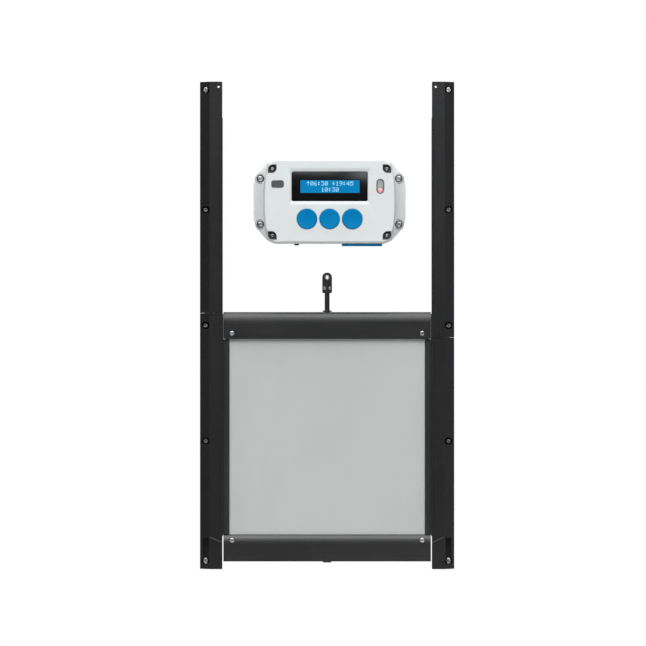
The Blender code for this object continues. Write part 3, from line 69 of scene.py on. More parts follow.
CLEARANCE = 0.3 * MM        # between pieces that fit into each other
OVERCUT = 1.0 * MM          # how far a cutter reaches past what it cuts
WELD = 0.002 * MM           # points closer than this become one
CORNERS = (("upper_left", -1, 1), ("upper_right", 1, 1), ("lower_left", -1, -1), ("lower_right", 1, -1))


# --- meshes ----------------------------------------------------------------------------


def centre_of(node):
    low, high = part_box(node)
    return (low + high) / 2


def made_object(name, shape, finish):
    """An object from a bmesh, with smooth round stretches and its own material."""
    bmesh.ops.recalc_face_normals(shape, faces=shape.faces)
    mesh = bpy.data.meshes.new(name)
    shape.to_mesh(mesh)
    shape.free()
    made = bpy.data.objects.new(name, mesh)
    bpy.context.scene.collection.objects.link(made)
    shade(made)
    if finish:
        mesh.materials.append(finish)
    return made


def shade(made, angle=35):
    made.data.shade_smooth()
    made.data.set_sharp_from_angle(angle=math.radians(angle))


def place(axis, first, second, along):
    """A point from two outline coordinates and a position along an axis."""
    if axis == "X":
        return Vector((along, first, second))
    if axis == "Y":
        return Vector((first, along, second))
    return Vector((first, second, along))


def stack(name, rings, axis, finish=None):
    """A body through outlines of equal length, each with its position on the axis."""
    shape = bmesh.new()
    loops = [[shape.verts.new(place(axis, u, v, along)) for u, v in outline] for outline, along in rings]
    for lower, upper in zip(loops, loops[1:]):
        count = len(lower)
        for i in range(count):
            j = (i + 1) % count
            shape.faces.new((lower[i], lower[j], upper[j], upper[i]))
    shape.faces.new(loops[0])
    shape.faces.new(loops[-1])
    return made_object(name, shape, finish)


def prism(name, outline, axis, low, high, finish=None):
    return stack(name, ((outline, low), (outline, high)), axis, finish)


def block(name, low, high):
    corners = [(low[0], low[1]), (high[0], low[1]), (high[0], high[1]), (low[0], high[1])]
    return prism(name, corners, "Z", low[2], high[2])


def turned(name, profile, axis, centre, segments=48, finish=None, ring=False, waist=None):
    """A body turned about an axis from (radius, position) points.

    waist(angle, radius) can change the radius of a point, for a driver's recess.
    """
    shape = bmesh.new()
    loops = []
    for radius, along in profile:
        if radius == 0.0:
            loops.append([shape.verts.new(place(axis, centre[0], centre[1], along))])
            continue
        loop = []
        for i in range(segments):
            angle = math.tau * i / segments
            reach = waist(angle, radius) if waist else radius
            u, v = centre[0] + reach * math.cos(angle), centre[1] + reach * math.sin(angle)
            loop.append(shape.verts.new(place(axis, u, v, along)))
        loops.append(loop)
    pairs = list(zip(loops, loops[1:]))
    if ring:
        pairs.append((loops[-1], loops[0]))
    for lower, upper in pairs:
        for i in range(segments):
            j = (i + 1) % segments
            if len(lower) == 1:
                shape.faces.new((lower[0], upper[j], upper[i]))
            elif len(upper) == 1:
                shape.faces.new((lower[i], lower[j], upper[0]))
            else:
                shape.faces.new((lower[i], lower[j], upper[j], upper[i]))
    return made_object(name, shape, finish)


def peg(name, radius, start, end, axis, centre, segments):
    """A plain round body, used as a cutter."""
    return turned(name, [(0.0, start), (radius, start), (radius, end), (0.0, end)], axis, centre, segments)


def combine(target, tools, operation="DIFFERENCE"):
    """Cuts tools from a body, or joins them to it, and applies the result."""
    shape = bmesh.new()
    for tool in tools:
        shape.from_mesh(tool.data)
        bpy.data.objects.remove(tool, do_unlink=True)
    merged = made_object(f"{target.name}_tools", shape, None)
    step = target.modifiers.new("shape", "BOOLEAN")
    step.operation, step.solver, step.object = operation, "EXACT", merged
    step.use_self = len(tools) > 1
    apply_modifiers(target)
    bpy.data.objects.remove(merged, do_unlink=True)


def apply_modifiers(made):
    bpy.context.view_layer.update()
    evaluated = made.evaluated_get(bpy.context.evaluated_depsgraph_get())
    mesh = bpy.data.meshes.new_from_object(evaluated)
    made.modifiers.clear()
    made.data = mesh


def soften(made, width=0.35 * MM, segments=2, angle=38):
    """Rounds the sharp edges, and marks the rounded faces in the attribute 'edge'."""
    shape = bmesh.new()
    shape.from_mesh(made.data)
    bmesh.ops.remove_doubles(shape, verts=shape.verts, dist=WELD)
    bmesh.ops.dissolve_degenerate(shape, edges=shape.edges, dist=WELD)
    bmesh.ops.dissolve_limit(
        shape, angle_limit=math.radians(1.0), verts=shape.verts, edges=shape.edges, delimit={"MATERIAL"}
    )
    shape.to_mesh(made.data)
    shape.free()
    step = made.modifiers.new("round", "BEVEL")
    step.width, step.segments, step.angle_limit = width, segments, math.radians(angle)
    step.limit_method = "ANGLE"
    step.use_clamp_overlap = True
    step.material = 1
    rim = made.data.materials[0] if made.data.materials else None
    made.data.materials.append(rim)
    apply_modifiers(made)
    mark_edges(made)
    shade(made, angle + 2)
    step = made.modifiers.new("normals", "WEIGHTED_NORMAL")
    step.keep_sharp, step.weight = True, 80
    apply_modifiers(made)
    return made


def mark_edges(made):
    """Moves the bevel's second material slot into a face attribute, and drops the slot."""
    mesh = made.data
    edge = mesh.attributes.new("edge", "FLOAT", "FACE")
    for face in mesh.polygons:
        edge.data[face.index].value = float(face.material_index > 0)
        face.material_index = 0
    while len(mesh.materials) > 1:
        mesh.materials.pop()


def copy_of(node, finish):
    """A new object with a CAD node's mesh and one finish."""
    made = bpy.data.objects.new(f"{node}_skin", NODES[node].data.copy())
    bpy.context.scene.collection.objects.link(made)
    made.data.materials.clear()
    made.data.materials.append(finish)
    for face in made.data.polygons:
        face.material_index = 0
    return made


def show(made, node, replaces=True):
    """The piece rides on its node's body, and stands for the node."""
    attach(made, BODY[node])
    if replaces:
        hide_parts(node)
    return made


def refined(node, finish, width=0.35 * MM, segments=2):
    return show(soften(copy_of(node, finish), width, segments), node)


# --- outlines --------------------------------------------------------------------------


def arc(centre, radii, start, end, steps):
    """Points on an ellipse's arc, angles in degrees."""
    angles = [math.radians(start + (end - start) * i / steps) for i in range(steps + 1)]
    return [(centre[0] + radii[0] * math.cos(a), centre[1] + radii[1] * math.sin(a)) for a in angles]


def signed_area(points):
    return sum(a[0] * b[1] - b[0] * a[1] for a, b in zip(points, points[1:] + points[:1])) / 2


def rounded(points, radius, steps=8):
    """A convex outline with each corner replaced by an arc."""
    corners = [Vector(point) for point in points]
    result = []
    for i, corner in enumerate(corners):
        before = (corners[i - 1] - corner).normalized()
        after = (corners[(i + 1) % len(corners)] - corner).normalized()
        half = before.angle(after) / 2
        middle = corner + (before + after).normalized() * radius / math.sin(half)
        start = corner + before * radius / math.tan(half) - middle
        turn = (math.pi - 2 * half) / steps
        if signed_area(points) < 0:
            turn = -turn
        result += [tuple(middle + Matrix.Rotation(turn * k, 2) @ start) for k in range(steps + 1)]
    return result


def inset(points, distance):
    """A convex counter-clockwise outline with every edge moved inwards."""
    corners = [Vector(point) for point in points]
    edges = []
    for i, corner in enumerate(corners):
        along = (corners[(i + 1) % len(corners)] - corner).normalized()
        inward = Vector((-along.y, along.x))
        edges.append((corner + inward * distance, inward))
    result = []
    for i, (point, inward) in enumerate(edges):
        other, other_inward = edges[i - 1]
        a, b = inward.dot(point), other_inward.dot(other)
        det = inward.x * other_inward.y - inward.y * other_inward.x
        result.append(((a * other_inward.y - b * inward.y) / det, (b * inward.x - a * other_inward.x) / det))
    return result


def slot_outline(start, end, radius, steps=14):
    """An obround from one centre to another."""
    line = Vector(end) - Vector(start)
    heading = math.degrees(math.atan2(line.y, line.x))
    return (arc(end, (radius, radius), heading - 90, heading + 90, steps)
            + arc(start, (radius, radius), heading + 90, heading + 270, steps))


def rectangle(centre, half_width, half_height, radius=None, steps=6):
    x, z = centre
    corners = [(x - half_width, z - half_height), (x + half_width, z - half_height),
               (x + half_width, z + half_height), (x - half_width, z + half_height)]
    return rounded(corners, radius, steps) if radius else corners


# --- finishes --------------------------------------------------------------------------


class Nodes:
    """Short ways to add and link shader nodes in one material."""

    def __init__(self, name):
        self.made = bpy.data.materials.new(name)
        self.made.use_nodes = True
        self.tree = self.made.node_tree
        self.shader = self.tree.nodes["Principled BSDF"]
        self.where = self.tree.nodes.new("ShaderNodeTexCoord").outputs["Object"]

    def link(self, source, target):
        self.tree.links.new(source, target)

    def stretched(self, scale):
        """Object coordinates, scaled along each axis."""
        node = self.tree.nodes.new("ShaderNodeMapping")
        node.inputs["Scale"].default_value = scale
        self.link(self.where, node.inputs["Vector"])
        return node.outputs["Vector"]

    def noise(self, scale, detail=3.0, rough=0.5, at=None):
        node = self.tree.nodes.new("ShaderNodeTexNoise")
        node.inputs["Scale"].default_value = scale
        node.inputs["Detail"].default_value = detail
        node.inputs["Roughness"].default_value = rough
        self.link(at or self.where, node.inputs["Vector"])
        return node.outputs["Fac"]

    def ranged(self, value, low, high, to_low=0.0, to_high=1.0):
        node = self.tree.nodes.new("ShaderNodeMapRange")
        for key, number in zip(("From Min", "From Max", "To Min", "To Max"), (low, high, to_low, to_high)):
            node.inputs[key].default_value = number
        self.link(value, node.inputs["Value"])
        return node.outputs["Result"]

    def maths(self, operation, first, second):
        node = self.tree.nodes.new("ShaderNodeMath")
        node.operation = operation
        for socket, value in zip(node.inputs, (first, second)):
            if isinstance(value, (int, float)):
                socket.default_value = value
            else:
                self.link(value, socket)
        return node.outputs[0]

    def blend(self, share, first, second):
        node = self.tree.nodes.new("ShaderNodeMix")
        node.data_type = "RGBA"
        for key, value in (("Factor", share), ("A", first), ("B", second)):
            socket = [s for s in node.inputs if s.name == key and s.enabled][0]
            if isinstance(value, tuple):
                socket.default_value = (*value, 1.0)
            else:
                self.link(value, socket)
        return [s for s in node.outputs if s.enabled][0]

    def bump(self, height, distance):
        node = self.tree.nodes.new("ShaderNodeBump")
        node.inputs["Distance"].default_value = distance
        node.inputs["Strength"].default_value = 1.0
        self.link(height, node.inputs["Height"])
        return node.outputs["Normal"]

    def edge(self):
        node = self.tree.nodes.new("ShaderNodeAttribute")
        node.attribute_name = "edge"
        return node.outputs["Fac"]


def tinted(colour, factor):
    return tuple(min(1.0, channel * factor) for channel in colour)


def finish(name, colour, rough, metallic=0.0, specular=0.5, vary=0.10, grain=650.0, depth=0.02,
           lines=None, wear=None, wear_share=0.5, dust=0.0, rough_vary=0.06, coat=0.0, glow=0.0, patch=9.0):
    """A material with tone patches, a fine grain, optional drawn lines, edge wear and dust.

    depth is the grain's height in millimetres, and lines is a scale along X, Y and Z.
    """
    nodes = Nodes(name)
    inputs = nodes.shader.inputs
    inputs["Metallic"].default_value = metallic
    inputs["Specular IOR Level"].default_value = specular
    if coat:
        inputs["Coat Weight"].default_value = coat
        inputs["Coat Roughness"].default_value = 0.12
    patches = nodes.noise(patch, 4.0, 0.55)
    tone = nodes.blend(nodes.ranged(patches, 0.3, 0.7), tinted(colour, 1 - vary), tinted(colour, 1 + vary))
    fine = nodes.noise(grain, 3.0, 0.6)
    tone = nodes.blend(nodes.ranged(fine, 0.35, 0.75, 0.0, vary), tone, tinted(colour, 1.6))
    roughness = nodes.ranged(patches, 0.25, 0.75, rough - rough_vary, rough + rough_vary)
    height = fine
    if lines:
        drawn = nodes.noise(1.0, 2.0, 0.6, nodes.stretched(lines))
        tone = nodes.blend(nodes.ranged(drawn, 0.3, 0.75, 0.0, vary * 1.5), tone, tinted(colour, 1.35))
        roughness = nodes.maths("ADD", roughness, nodes.ranged(drawn, 0.3, 0.7, -0.05, 0.05))
        height = nodes.maths("ADD", nodes.maths("MULTIPLY", fine, 0.4), drawn)
    if dust:
        specks = nodes.ranged(nodes.noise(95.0, 5.0, 0.7), 0.56, 0.72)
        tone = nodes.blend(nodes.maths("MULTIPLY", specks, dust), tone, (0.35, 0.34, 0.32))
        roughness = nodes.maths("ADD", roughness, nodes.maths("MULTIPLY", specks, dust))
    if wear:
        rubbed = nodes.ranged(nodes.noise(140.0, 4.0, 0.65), 0.42, 0.62)
        share = nodes.maths("MULTIPLY", nodes.maths("MULTIPLY", nodes.edge(), rubbed), wear_share)
        tone = nodes.blend(share, tone, wear)
        roughness = nodes.maths("SUBTRACT", roughness, nodes.maths("MULTIPLY", share, 0.12))
    nodes.link(tone, inputs["Base Color"])
    nodes.link(roughness, inputs["Roughness"])
    nodes.link(nodes.bump(height, depth * MM), inputs["Normal"])
    if glow:
        nodes.link(tone, inputs["Emission Color"])
        inputs["Emission Strength"].default_value = glow
    return nodes.made


FINISH = {
    "runner": finish(
        "powder_black", (0.0078, 0.0078, 0.0084), 0.40, specular=0.32, grain=900.0, depth=0.030,
        wear=(0.060, 0.058, 0.056), wear_share=0.55, dust=0.012, vary=0.12, patch=5.0,
    ),
    "bar": finish(
        "satin_black", (0.0045, 0.0045, 0.0050), 0.37, specular=0.66, grain=1300.0, depth=0.012,
        lines=(3.0, 900.0, 900.0), wear=(0.032, 0.031, 0.030), dust=0.005, vary=0.10,
    ),
    "moulded": finish(
        "moulded_black", (0.017, 0.017, 0.018), 0.42, specular=0.4, grain=1500.0, depth=0.02,
        wear=(0.06, 0.06, 0.06), vary=0.12,
    ),
    "strip": finish(
        "strip_black", (0.005, 0.005, 0.005), 0.55, specular=0.3, grain=900.0, depth=0.01, vary=0.15,
    ),
    "panel": finish(
        "panel_grey", (0.492, 0.500, 0.496), 0.42, metallic=0.25, grain=1800.0, depth=0.006,
        lines=(1100.0, 1100.0, 5.0), wear=(0.72, 0.72, 0.72), vary=0.035, rough_vary=0.04, patch=4.0,
        dust=0.03,
    ),
    "steel": finish(
        "steel", (0.56, 0.56, 0.57), 0.30, metallic=1.0, grain=2200.0, depth=0.012,
        wear=(0.80, 0.80, 0.80), vary=0.16, patch=120.0, rough_vary=0.10,
    ),
    "case": finish(
        "case_white", (0.575, 0.600, 0.595), 0.44, specular=0.42, grain=1500.0, depth=0.014,
        wear=(0.68, 0.70, 0.70), wear_share=0.4, vary=0.030, dust=0.035, patch=12.0,
    ),
    "blue": finish(
        "button_blue", (0.0001, 0.162, 0.372), 0.50, specular=0.05, grain=1600.0, depth=0.012,
        wear=(0.02, 0.27, 0.55), vary=0.06, patch=60.0,
    ),
    "drawer": finish(
        "drawer_blue", (0.0002, 0.215, 0.470), 0.42, specular=0.25, grain=1500.0, depth=0.012,
        wear=(0.02, 0.28, 0.58), vary=0.06, patch=40.0,
    ),
    "glass": finish(
        "display_black", (0.0035, 0.0035, 0.0040), 0.18, specular=0.25, grain=1800.0, depth=0.001,
        vary=0.10, rough_vary=0.05, dust=0.004,
    ),
    "lcd": finish(
        "lcd_blue", (0.0002, 0.152, 0.340), 0.35, specular=0.10, grain=1250.0, depth=0.004,
        lines=(1250.0, 2.0, 2.0), vary=0.05, glow=0.14, patch=30.0,
    ),
    "digit": finish(
        "lcd_digit", (0.30, 0.62, 0.82), 0.40, specular=0.3, grain=1500.0, depth=0.002, vary=0.05, glow=0.30,
    ),
    "grey": finish(
        "insert_grey", (0.060, 0.061, 0.062), 0.42, grain=1300.0, depth=0.02,
        wear=(0.18, 0.18, 0.18), vary=0.15, patch=60.0,
    ),
    "rim": finish(
        "rim_grey", (0.150, 0.154, 0.156), 0.40, grain=1300.0, depth=0.02,
        wear=(0.30, 0.30, 0.30), vary=0.12, patch=60.0,
    ),
    "pale": finish(
        "diffuser_grey", (0.36, 0.375, 0.37), 0.34, grain=1500.0, depth=0.01, vary=0.08,
        wear=(0.55, 0.56, 0.56), patch=120.0,
    ),
    "led": finish(
        "led_red", (0.78, 0.26, 0.29), 0.22, grain=900.0, depth=0.002, vary=0.06, glow=0.18, coat=0.5,
    ),
    # Dark rubber of the seal and the washers; on the ring over each boss rim the same dark is painted shadow
    # of the gap round the boss.
    "rubber_and_shadow": finish("seal_rubber", (0.014, 0.014, 0.014), 0.62, grain=1200.0, depth=0.02, vary=0.15),
    "board": finish(
        "board_green", (0.012, 0.085, 0.038), 0.40, grain=700.0, depth=0.01, vary=0.20, coat=0.3,
    ),
    "cell": finish(
        "cell_sleeve", (0.055, 0.055, 0.060), 0.32, grain=900.0, depth=0.006, vary=0.12, coat=0.3,
    ),
}


# --- fasteners -------------------------------------------------------------------------


def crossed(share, lobes=4, sharp=5.0):
    """How far a recess reaches at an angle: full in its lobes, a share of that between them."""
    def reach(angle):
        return share + (1 - share) * abs(math.cos(angle * lobes / 2)) ** sharp
    return reach


RECESSES = {"cross": crossed(0.34), "star": crossed(0.72, 6, 1.6)}


def screw_skin(node, head_height, crown, recess, spin=0.0):
    """A pan head screw along Y with a driver recess, in the place of a CAD screw."""
    low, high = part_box(node)
    middle = (low + high) / 2
    front, end = low.y, high.y
    head = (high.x - low.x) / 2
    shank = head * 0.48
    mouth = head * 0.56
    reach = RECESSES[recess]

    def waist(angle, radius):
        return radius * reach(angle + spin) if radius <= mouth else radius

    deep = front + head_height * 0.62
    profile = [
        (0.0, deep),
        (mouth * 0.45, deep),
        (mouth * 0.90, front + 0.30 * MM),
        (mouth, front + 0.10 * MM),
        (head * 0.60, front),
    ]
    for step in range(1, 8):
        angle = math.pi / 2 * step / 7
        profile.append((head * (0.60 + 0.40 * math.sin(angle)), front + crown * (1 - math.cos(angle))))
    profile += [
        (head, front + head_height - 0.15 * MM),
        (head - 0.15 * MM, front + head_height),
        (shank, front + head_height),
        (shank, end - shank),
        (0.0, end),
    ]
    made = turned(f"{node}_skin", profile, "Y", (middle.x, middle.z), 48, FINISH["steel"], waist=waist)
    return show(made, node)


def all_screws():
    for side in ("left", "right"):
        for number in range(1, 6):
            screw_skin(f"{side}_runner_screw_{number}", 3.4 * MM, 2.0 * MM, "cross", 0.35 * number)
    for row in ("top", "bottom"):
        for side, spin in (("left", 0.5), ("right", 1.1)):
            screw_skin(f"door_screw_{row}_{side}", 2.2 * MM, 1.4 * MM, "cross", spin)
    for number, (corner, _, _) in enumerate(CORNERS):
        screw_skin(f"mount_screw_{corner}", 3.4 * MM, 1.5 * MM, "star", 0.3 * number)
        screw_skin(f"case_screw_{corner}", 2.2 * MM, 1.0 * MM, "star", 0.4 * number)


# --- runners and door ------------------------------------------------------------------


def runners():
    for side in ("left", "right"):
        for length in ("lower", "upper"):
            refined(f"{side}_runner_{length}", FINISH["runner"], 0.40 * MM, 3)
        refined(f"{side}_glide_strip", FINISH["strip"], 0.18 * MM)
        refined(f"{side}_lock_keeper", FINISH["bar"], 0.60 * MM, 3)
        refined(f"{side}_stile", FINISH["moulded"], 0.30 * MM)


def seam_gaskets():
    """A dark gasket in each seam between two lengths of runner, short of its outer side."""
    wall, slope = 2.0 * MM, 14.0 * MM
    setback, open_end = 0.7 * MM, 6.8 * MM
    for side, sign in (("left", -1), ("right", 1)):
        low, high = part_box(f"{side}_runner_lower")
        outer, inner = max(abs(low.x), abs(high.x)), min(abs(low.x), abs(high.x))
        crease, end = outer - slope, outer - open_end
        front = low.y + setback
        back = low.y + wall - 0.05 * MM
        outline = [
            (inner + setback, front),
            (crease, front),
            (end, front + end - crease),
            (end, back + end - crease),
            (crease, back),
            (inner + setback, back),
        ]
        outline = [(sign * x, y) for x, y in outline]
        bottom, top = high.z + 0.1 * CLEARANCE, high.z + 0.9 * CLEARANCE
        made = prism(f"{side}_seam_gasket", outline, "Z", bottom, top, FINISH["strip"])
        show(made, f"{side}_runner_lower", replaces=False)


def door():
    refined("door_panel", FINISH["panel"], 0.25 * MM)
    for bar in ("top_bar", "bottom_bar"):
        refined(bar, FINISH["bar"], 0.22 * MM, 2)
    for side in ("left", "right"):
        refined(f"lock_bolt_{side}", FINISH["steel"], 0.30 * MM)
    refined("cam_plate", FINISH["bar"], 0.30 * MM)


def collar():
    low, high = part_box("rod_collar")
    middle = (low + high) / 2
    rod_low, rod_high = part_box("lift_rod")
    bore = (rod_high.x - rod_low.x) / 2 + CLEARANCE
    rim = (high.x - low.x) / 2
    profile = [(bore, low.z), (rim - 0.2 * MM, low.z), (rim, low.z + 0.2 * MM), (rim, low.z + 0.8 * MM)]
    profile += [
        (rim - 1.2 * MM * (1 - math.cos(a)), low.z + 0.8 * MM + 1.4 * MM * math.sin(a))
        for a in (0.3, 0.7, 1.1, 1.45)
    ]
    profile += [(bore + 0.2 * MM, high.z), (bore, high.z - 0.2 * MM)]
    made = turned("rod_collar_skin", profile, "Z", (middle.x, middle.y), 48, FINISH["moulded"], ring=True)
    show(made, "rod_collar")


def rod():
    low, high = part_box("lift_rod")
    middle, radius = (low + high) / 2, (high.x - low.x) / 2
    chamfer = 0.5 * MM
    profile = [(0.0, low.z), (radius - chamfer, low.z), (radius, low.z + chamfer)]
    steps, straight = 24, high.z - low.z - 2 * chamfer
    profile += [(radius, low.z + chamfer + straight * i / steps) for i in range(1, steps)]
    profile += [(radius, high.z - chamfer), (radius - chamfer, high.z), (0.0, high.z)]
    made = turned("lift_rod_skin", profile, "Z", (middle.x, middle.y), 40, FINISH["bar"])
    show(made, "lift_rod")


def eye():
    """The lifter eye with a metal bush in its hole and the two clamp screws below it."""
    low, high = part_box("lifter_eye")
    middle = (low + high) / 2
    refined("lifter_eye", FINISH["moulded"], 0.8 * MM, 3)
    half_width = (high.x - low.x) / 2
    hole = (middle.x, high.z - half_width)
    radius, rim, bore = 3.1 * MM, 3.6 * MM, 1.9 * MM
    half = (high.y - low.y) / 2
    front, back = middle.y - half - 0.25 * MM, middle.y + half + 0.25 * MM
    chamfer = 0.3 * MM
    profile = [
        (bore, front + chamfer),
        (bore + chamfer, front),
        (rim - chamfer, front),
        (rim, front + chamfer),
        (radius - 0.1 * MM, front + 1.5 * chamfer),
        (radius - 0.1 * MM, back - 1.5 * chamfer),
        (rim, back - chamfer),
        (rim - chamfer, back),
        (bore + chamfer, back),
        (bore, back - chamfer),
    ]
    bush = turned("eye_bush", profile, "Y", hole, 48, FINISH["steel"], ring=True)
    show(bush, "lifter_eye", replaces=False)
    face = middle.y - half
    for number, sign in enumerate((-1, 1)):
        centre = (middle.x + sign * 3.7 * MM, low.z + 7.0 * MM)
        clamp = turned(
            f"eye_clamp_screw_{number + 1}",
            [(0.0, face + 0.2 * MM), (0.7 * MM, face + 0.2 * MM), (0.8 * MM, face - 0.40 * MM),
             (1.25 * MM, face - 0.35 * MM), (1.5 * MM, face), (1.5 * MM, face + 0.5 * MM),
             (0.0, face + 0.5 * MM)],
            "Y", centre, 36, FINISH["steel"],
            waist=lambda angle, reach: reach * (1 + 0.6 * abs(math.sin(angle))),
        )
        show(clamp, "lifter_eye", replaces=False)


# --- motor unit ------------------------------------------------------------------------

# Corners of the unit's upper right quarter, as distances in from its half width and height
EAR_CORNERS = ((0.0, 37.0), (2.8, 24.0), (19.4, 4.9), (30.4, 0.0))
DOME_CORNERS = ((0.0, 45.0), (1.5, 25.0), (6.5, 5.2), (16.0, 0.0))
CAVITY_CORNERS = ((0.0, 34.75), (35.5, 0.0))
OUTLINE_RADIUS = 6.0 * MM
WALL = 2.5 * MM
FACE_WALL = 5.0 * MM
EAR_DEPTH = 12.5 * MM
DOME_START = 15.5 * MM
SEAM_DEPTH = 20.0 * MM
FACE_ROLL = (3.6 * MM, 9.0 * MM)     # the front's rolled edge, across and deep
BUTTON_DISH = 1.35 * MM              # how deep each button's face is sunk
BUTTON_ROLL = 1.4 * MM
BUTTON_FLANGE = 1.0 * MM
EDGE_EASE = 0.25 * MM                # the small step at the seam between the shells
EAR_EASE = 1.2 * MM
CASE_SCREW_BORE = 1.6 * MM
MOUNT_BORE = 2.5 * MM
SEAT_RADIUS = 5.5 * MM
BOSS_RISE = 1.0 * MM
OUTLET_BORE = 3.8 * MM
BAY_BACK = 3.7 * MM
BAY_ROOM = 0.8 * MM                  # round the drawer's tray
DRAWER_LIP = 1.7 * MM                # how far the drawer's cap stands out round its tray

FRONT_LOW, FRONT_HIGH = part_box("case_front")
BACK_LOW, BACK_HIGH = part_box("case_back")
BOX_MIDDLE = ((BACK_LOW.x + BACK_HIGH.x) / 2, (BACK_LOW.z + BACK_HIGH.z) / 2)
HALF_HEIGHT = (BACK_HIGH.z - BACK_LOW.z) / 2
EAR_HALF = (BACK_HIGH.x - BACK_LOW.x) / 2
DOME_HALF = (FRONT_HIGH.x - FRONT_LOW.x) / 2
REAR, FACE = BACK_HIGH.y, FRONT_LOW.y


def at_box(points):
    return [(BOX_MIDDLE[0] + x, BOX_MIDDLE[1] + z) for x, z in points]


def unit_outline(quarter, half_width, half_height=HALF_HEIGHT):
    corner = [(half_width - dx * MM, half_height - dz * MM) for dx, dz in quarter]
    left = [(-x, z) for x, z in reversed(corner)]
    return corner + left + [(-x, -z) for x, z in corner + left]


def eased(outline, distance=0.0):
    return at_box(rounded(inset(outline, distance), OUTLINE_RADIUS))


def cavity(name, low, high):
    outline = unit_outline(CAVITY_CORNERS, DOME_HALF - WALL, HALF_HEIGHT - WALL)
    return prism(name, at_box(rounded(outline, 3 * MM)), "Y", low, high)


def drawer_bay(front, back):
    low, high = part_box("battery_drawer")
    return block(
        "bay",
        (low.x + DRAWER_LIP - BAY_ROOM, max(front, low.y + DRAWER_LIP - BAY_ROOM), BACK_LOW.z - OVERCUT),
        (high.x - DRAWER_LIP + BAY_ROOM, back, high.z + BAY_ROOM),
    )


def display_slopes():
    """The sunk field round the display, with a long slope under it and a short one over it."""
    low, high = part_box("display_window")
    floor = low.y + CLEARANCE

    def frame_at(reach, below, above):
        return [(low.x - reach, low.z - below), (high.x + reach, low.z - below),
                (high.x + reach, high.z + above), (low.x - reach, high.z + above)]

    near, rim = frame_at(CLEARANCE, CLEARANCE, CLEARANCE), frame_at(5 * MM, 6.5 * MM, 6 * MM)
    extra = 1 + OVERCUT / (floor - FACE)
    beyond = [(nx + (rx - nx) * extra, nz + (rz - nz) * extra) for (nx, nz), (rx, rz) in zip(near, rim)]
    return stack("slopes", ((near, floor), (beyond, FACE - OVERCUT)), "Y")


def leaf_outline(centre, sign_x, sign_z, half=6.2 * MM):
    """A corner pocket with its outer and inner corners rounded and the other two sharp."""
    radius = half * 1.15
    quarter = arc((half - radius, half - radius), (radius, radius), 0, 90, 10)
    points = [(half, -half), *quarter, (-half, half), *[(-x, -z) for x, z in quarter]]
    return [(centre.x + sign_x * x, centre.z + sign_z * z) for x, z in points]


def case_front():
    """The front cover: a rolled edge, the display's field and openings for what shows."""
    dome = unit_outline(DOME_CORNERS, DOME_HALF)
    rings = [(eased(dome, EDGE_EASE), FRONT_HIGH.y), (eased(dome), FRONT_HIGH.y - EDGE_EASE)]
    for step in range(13):
        angle = math.pi / 2 * step / 12
        shrink, back = FACE_ROLL[0] * (1 - math.cos(angle)), FACE_ROLL[1] * (1 - math.sin(angle))
        rings.append((eased(dome, shrink), FACE + back))
    made = stack("case_front_skin", rings, "Y", FINISH["case"])
    outside, inside = FACE - OVERCUT, FACE + FACE_WALL + OVERCUT
    window_low, window_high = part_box("display_window")
    window_middle = (window_low + window_high) / 2
    opening = rectangle(
        (window_middle.x, window_middle.z),
        (window_high.x - window_low.x) / 2 + CLEARANCE,
        (window_high.z - window_low.z) / 2 + CLEARANCE,
        2.4 * MM,
    )
    pill_low, pill_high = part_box("sensor_window")
    radius = (pill_high.x - pill_low.x) / 2
    pill_x = (pill_low.x + pill_high.x) / 2
    pill = slot_outline(
        (pill_x, pill_low.z + radius), (pill_x, pill_high.z - radius), radius + 2 * CLEARANCE
    )
    tools = [
        cavity("hollow", FRONT_HIGH.y + OVERCUT, FACE + FACE_WALL),
        drawer_bay(FACE + 2 * FACE_WALL, FRONT_HIGH.y + OVERCUT),
        display_slopes(),
        prism("window", opening, "Y", outside, inside),
        prism("pill", pill, "Y", outside, inside),
    ]
    for number in (1, 2, 3):
        low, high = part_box(f"button_{number}")
        spot = (low + high) / 2
        radius = (high.x - low.x) / 2 - BUTTON_FLANGE + CLEARANCE
        tools.append(peg("hole", radius, outside, inside, "Y", (spot.x, spot.z), 64))
    for corner, sx, sz in CORNERS:
        spot = centre_of(f"case_screw_{corner}")
        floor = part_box(f"case_screw_{corner}")[0].y + 2.5 * MM
        tools.append(prism("leaf", leaf_outline(spot, sx, sz), "Y", outside, floor))
        end = FRONT_HIGH.y + 2 * OVERCUT
        tools.append(peg("screw", CASE_SCREW_BORE, floor - OVERCUT, end, "Y", (spot.x, spot.z), 20))
    combine(made, tools)
    soften(made, 0.40 * MM, 3, 34)
    show(made, "case_front")


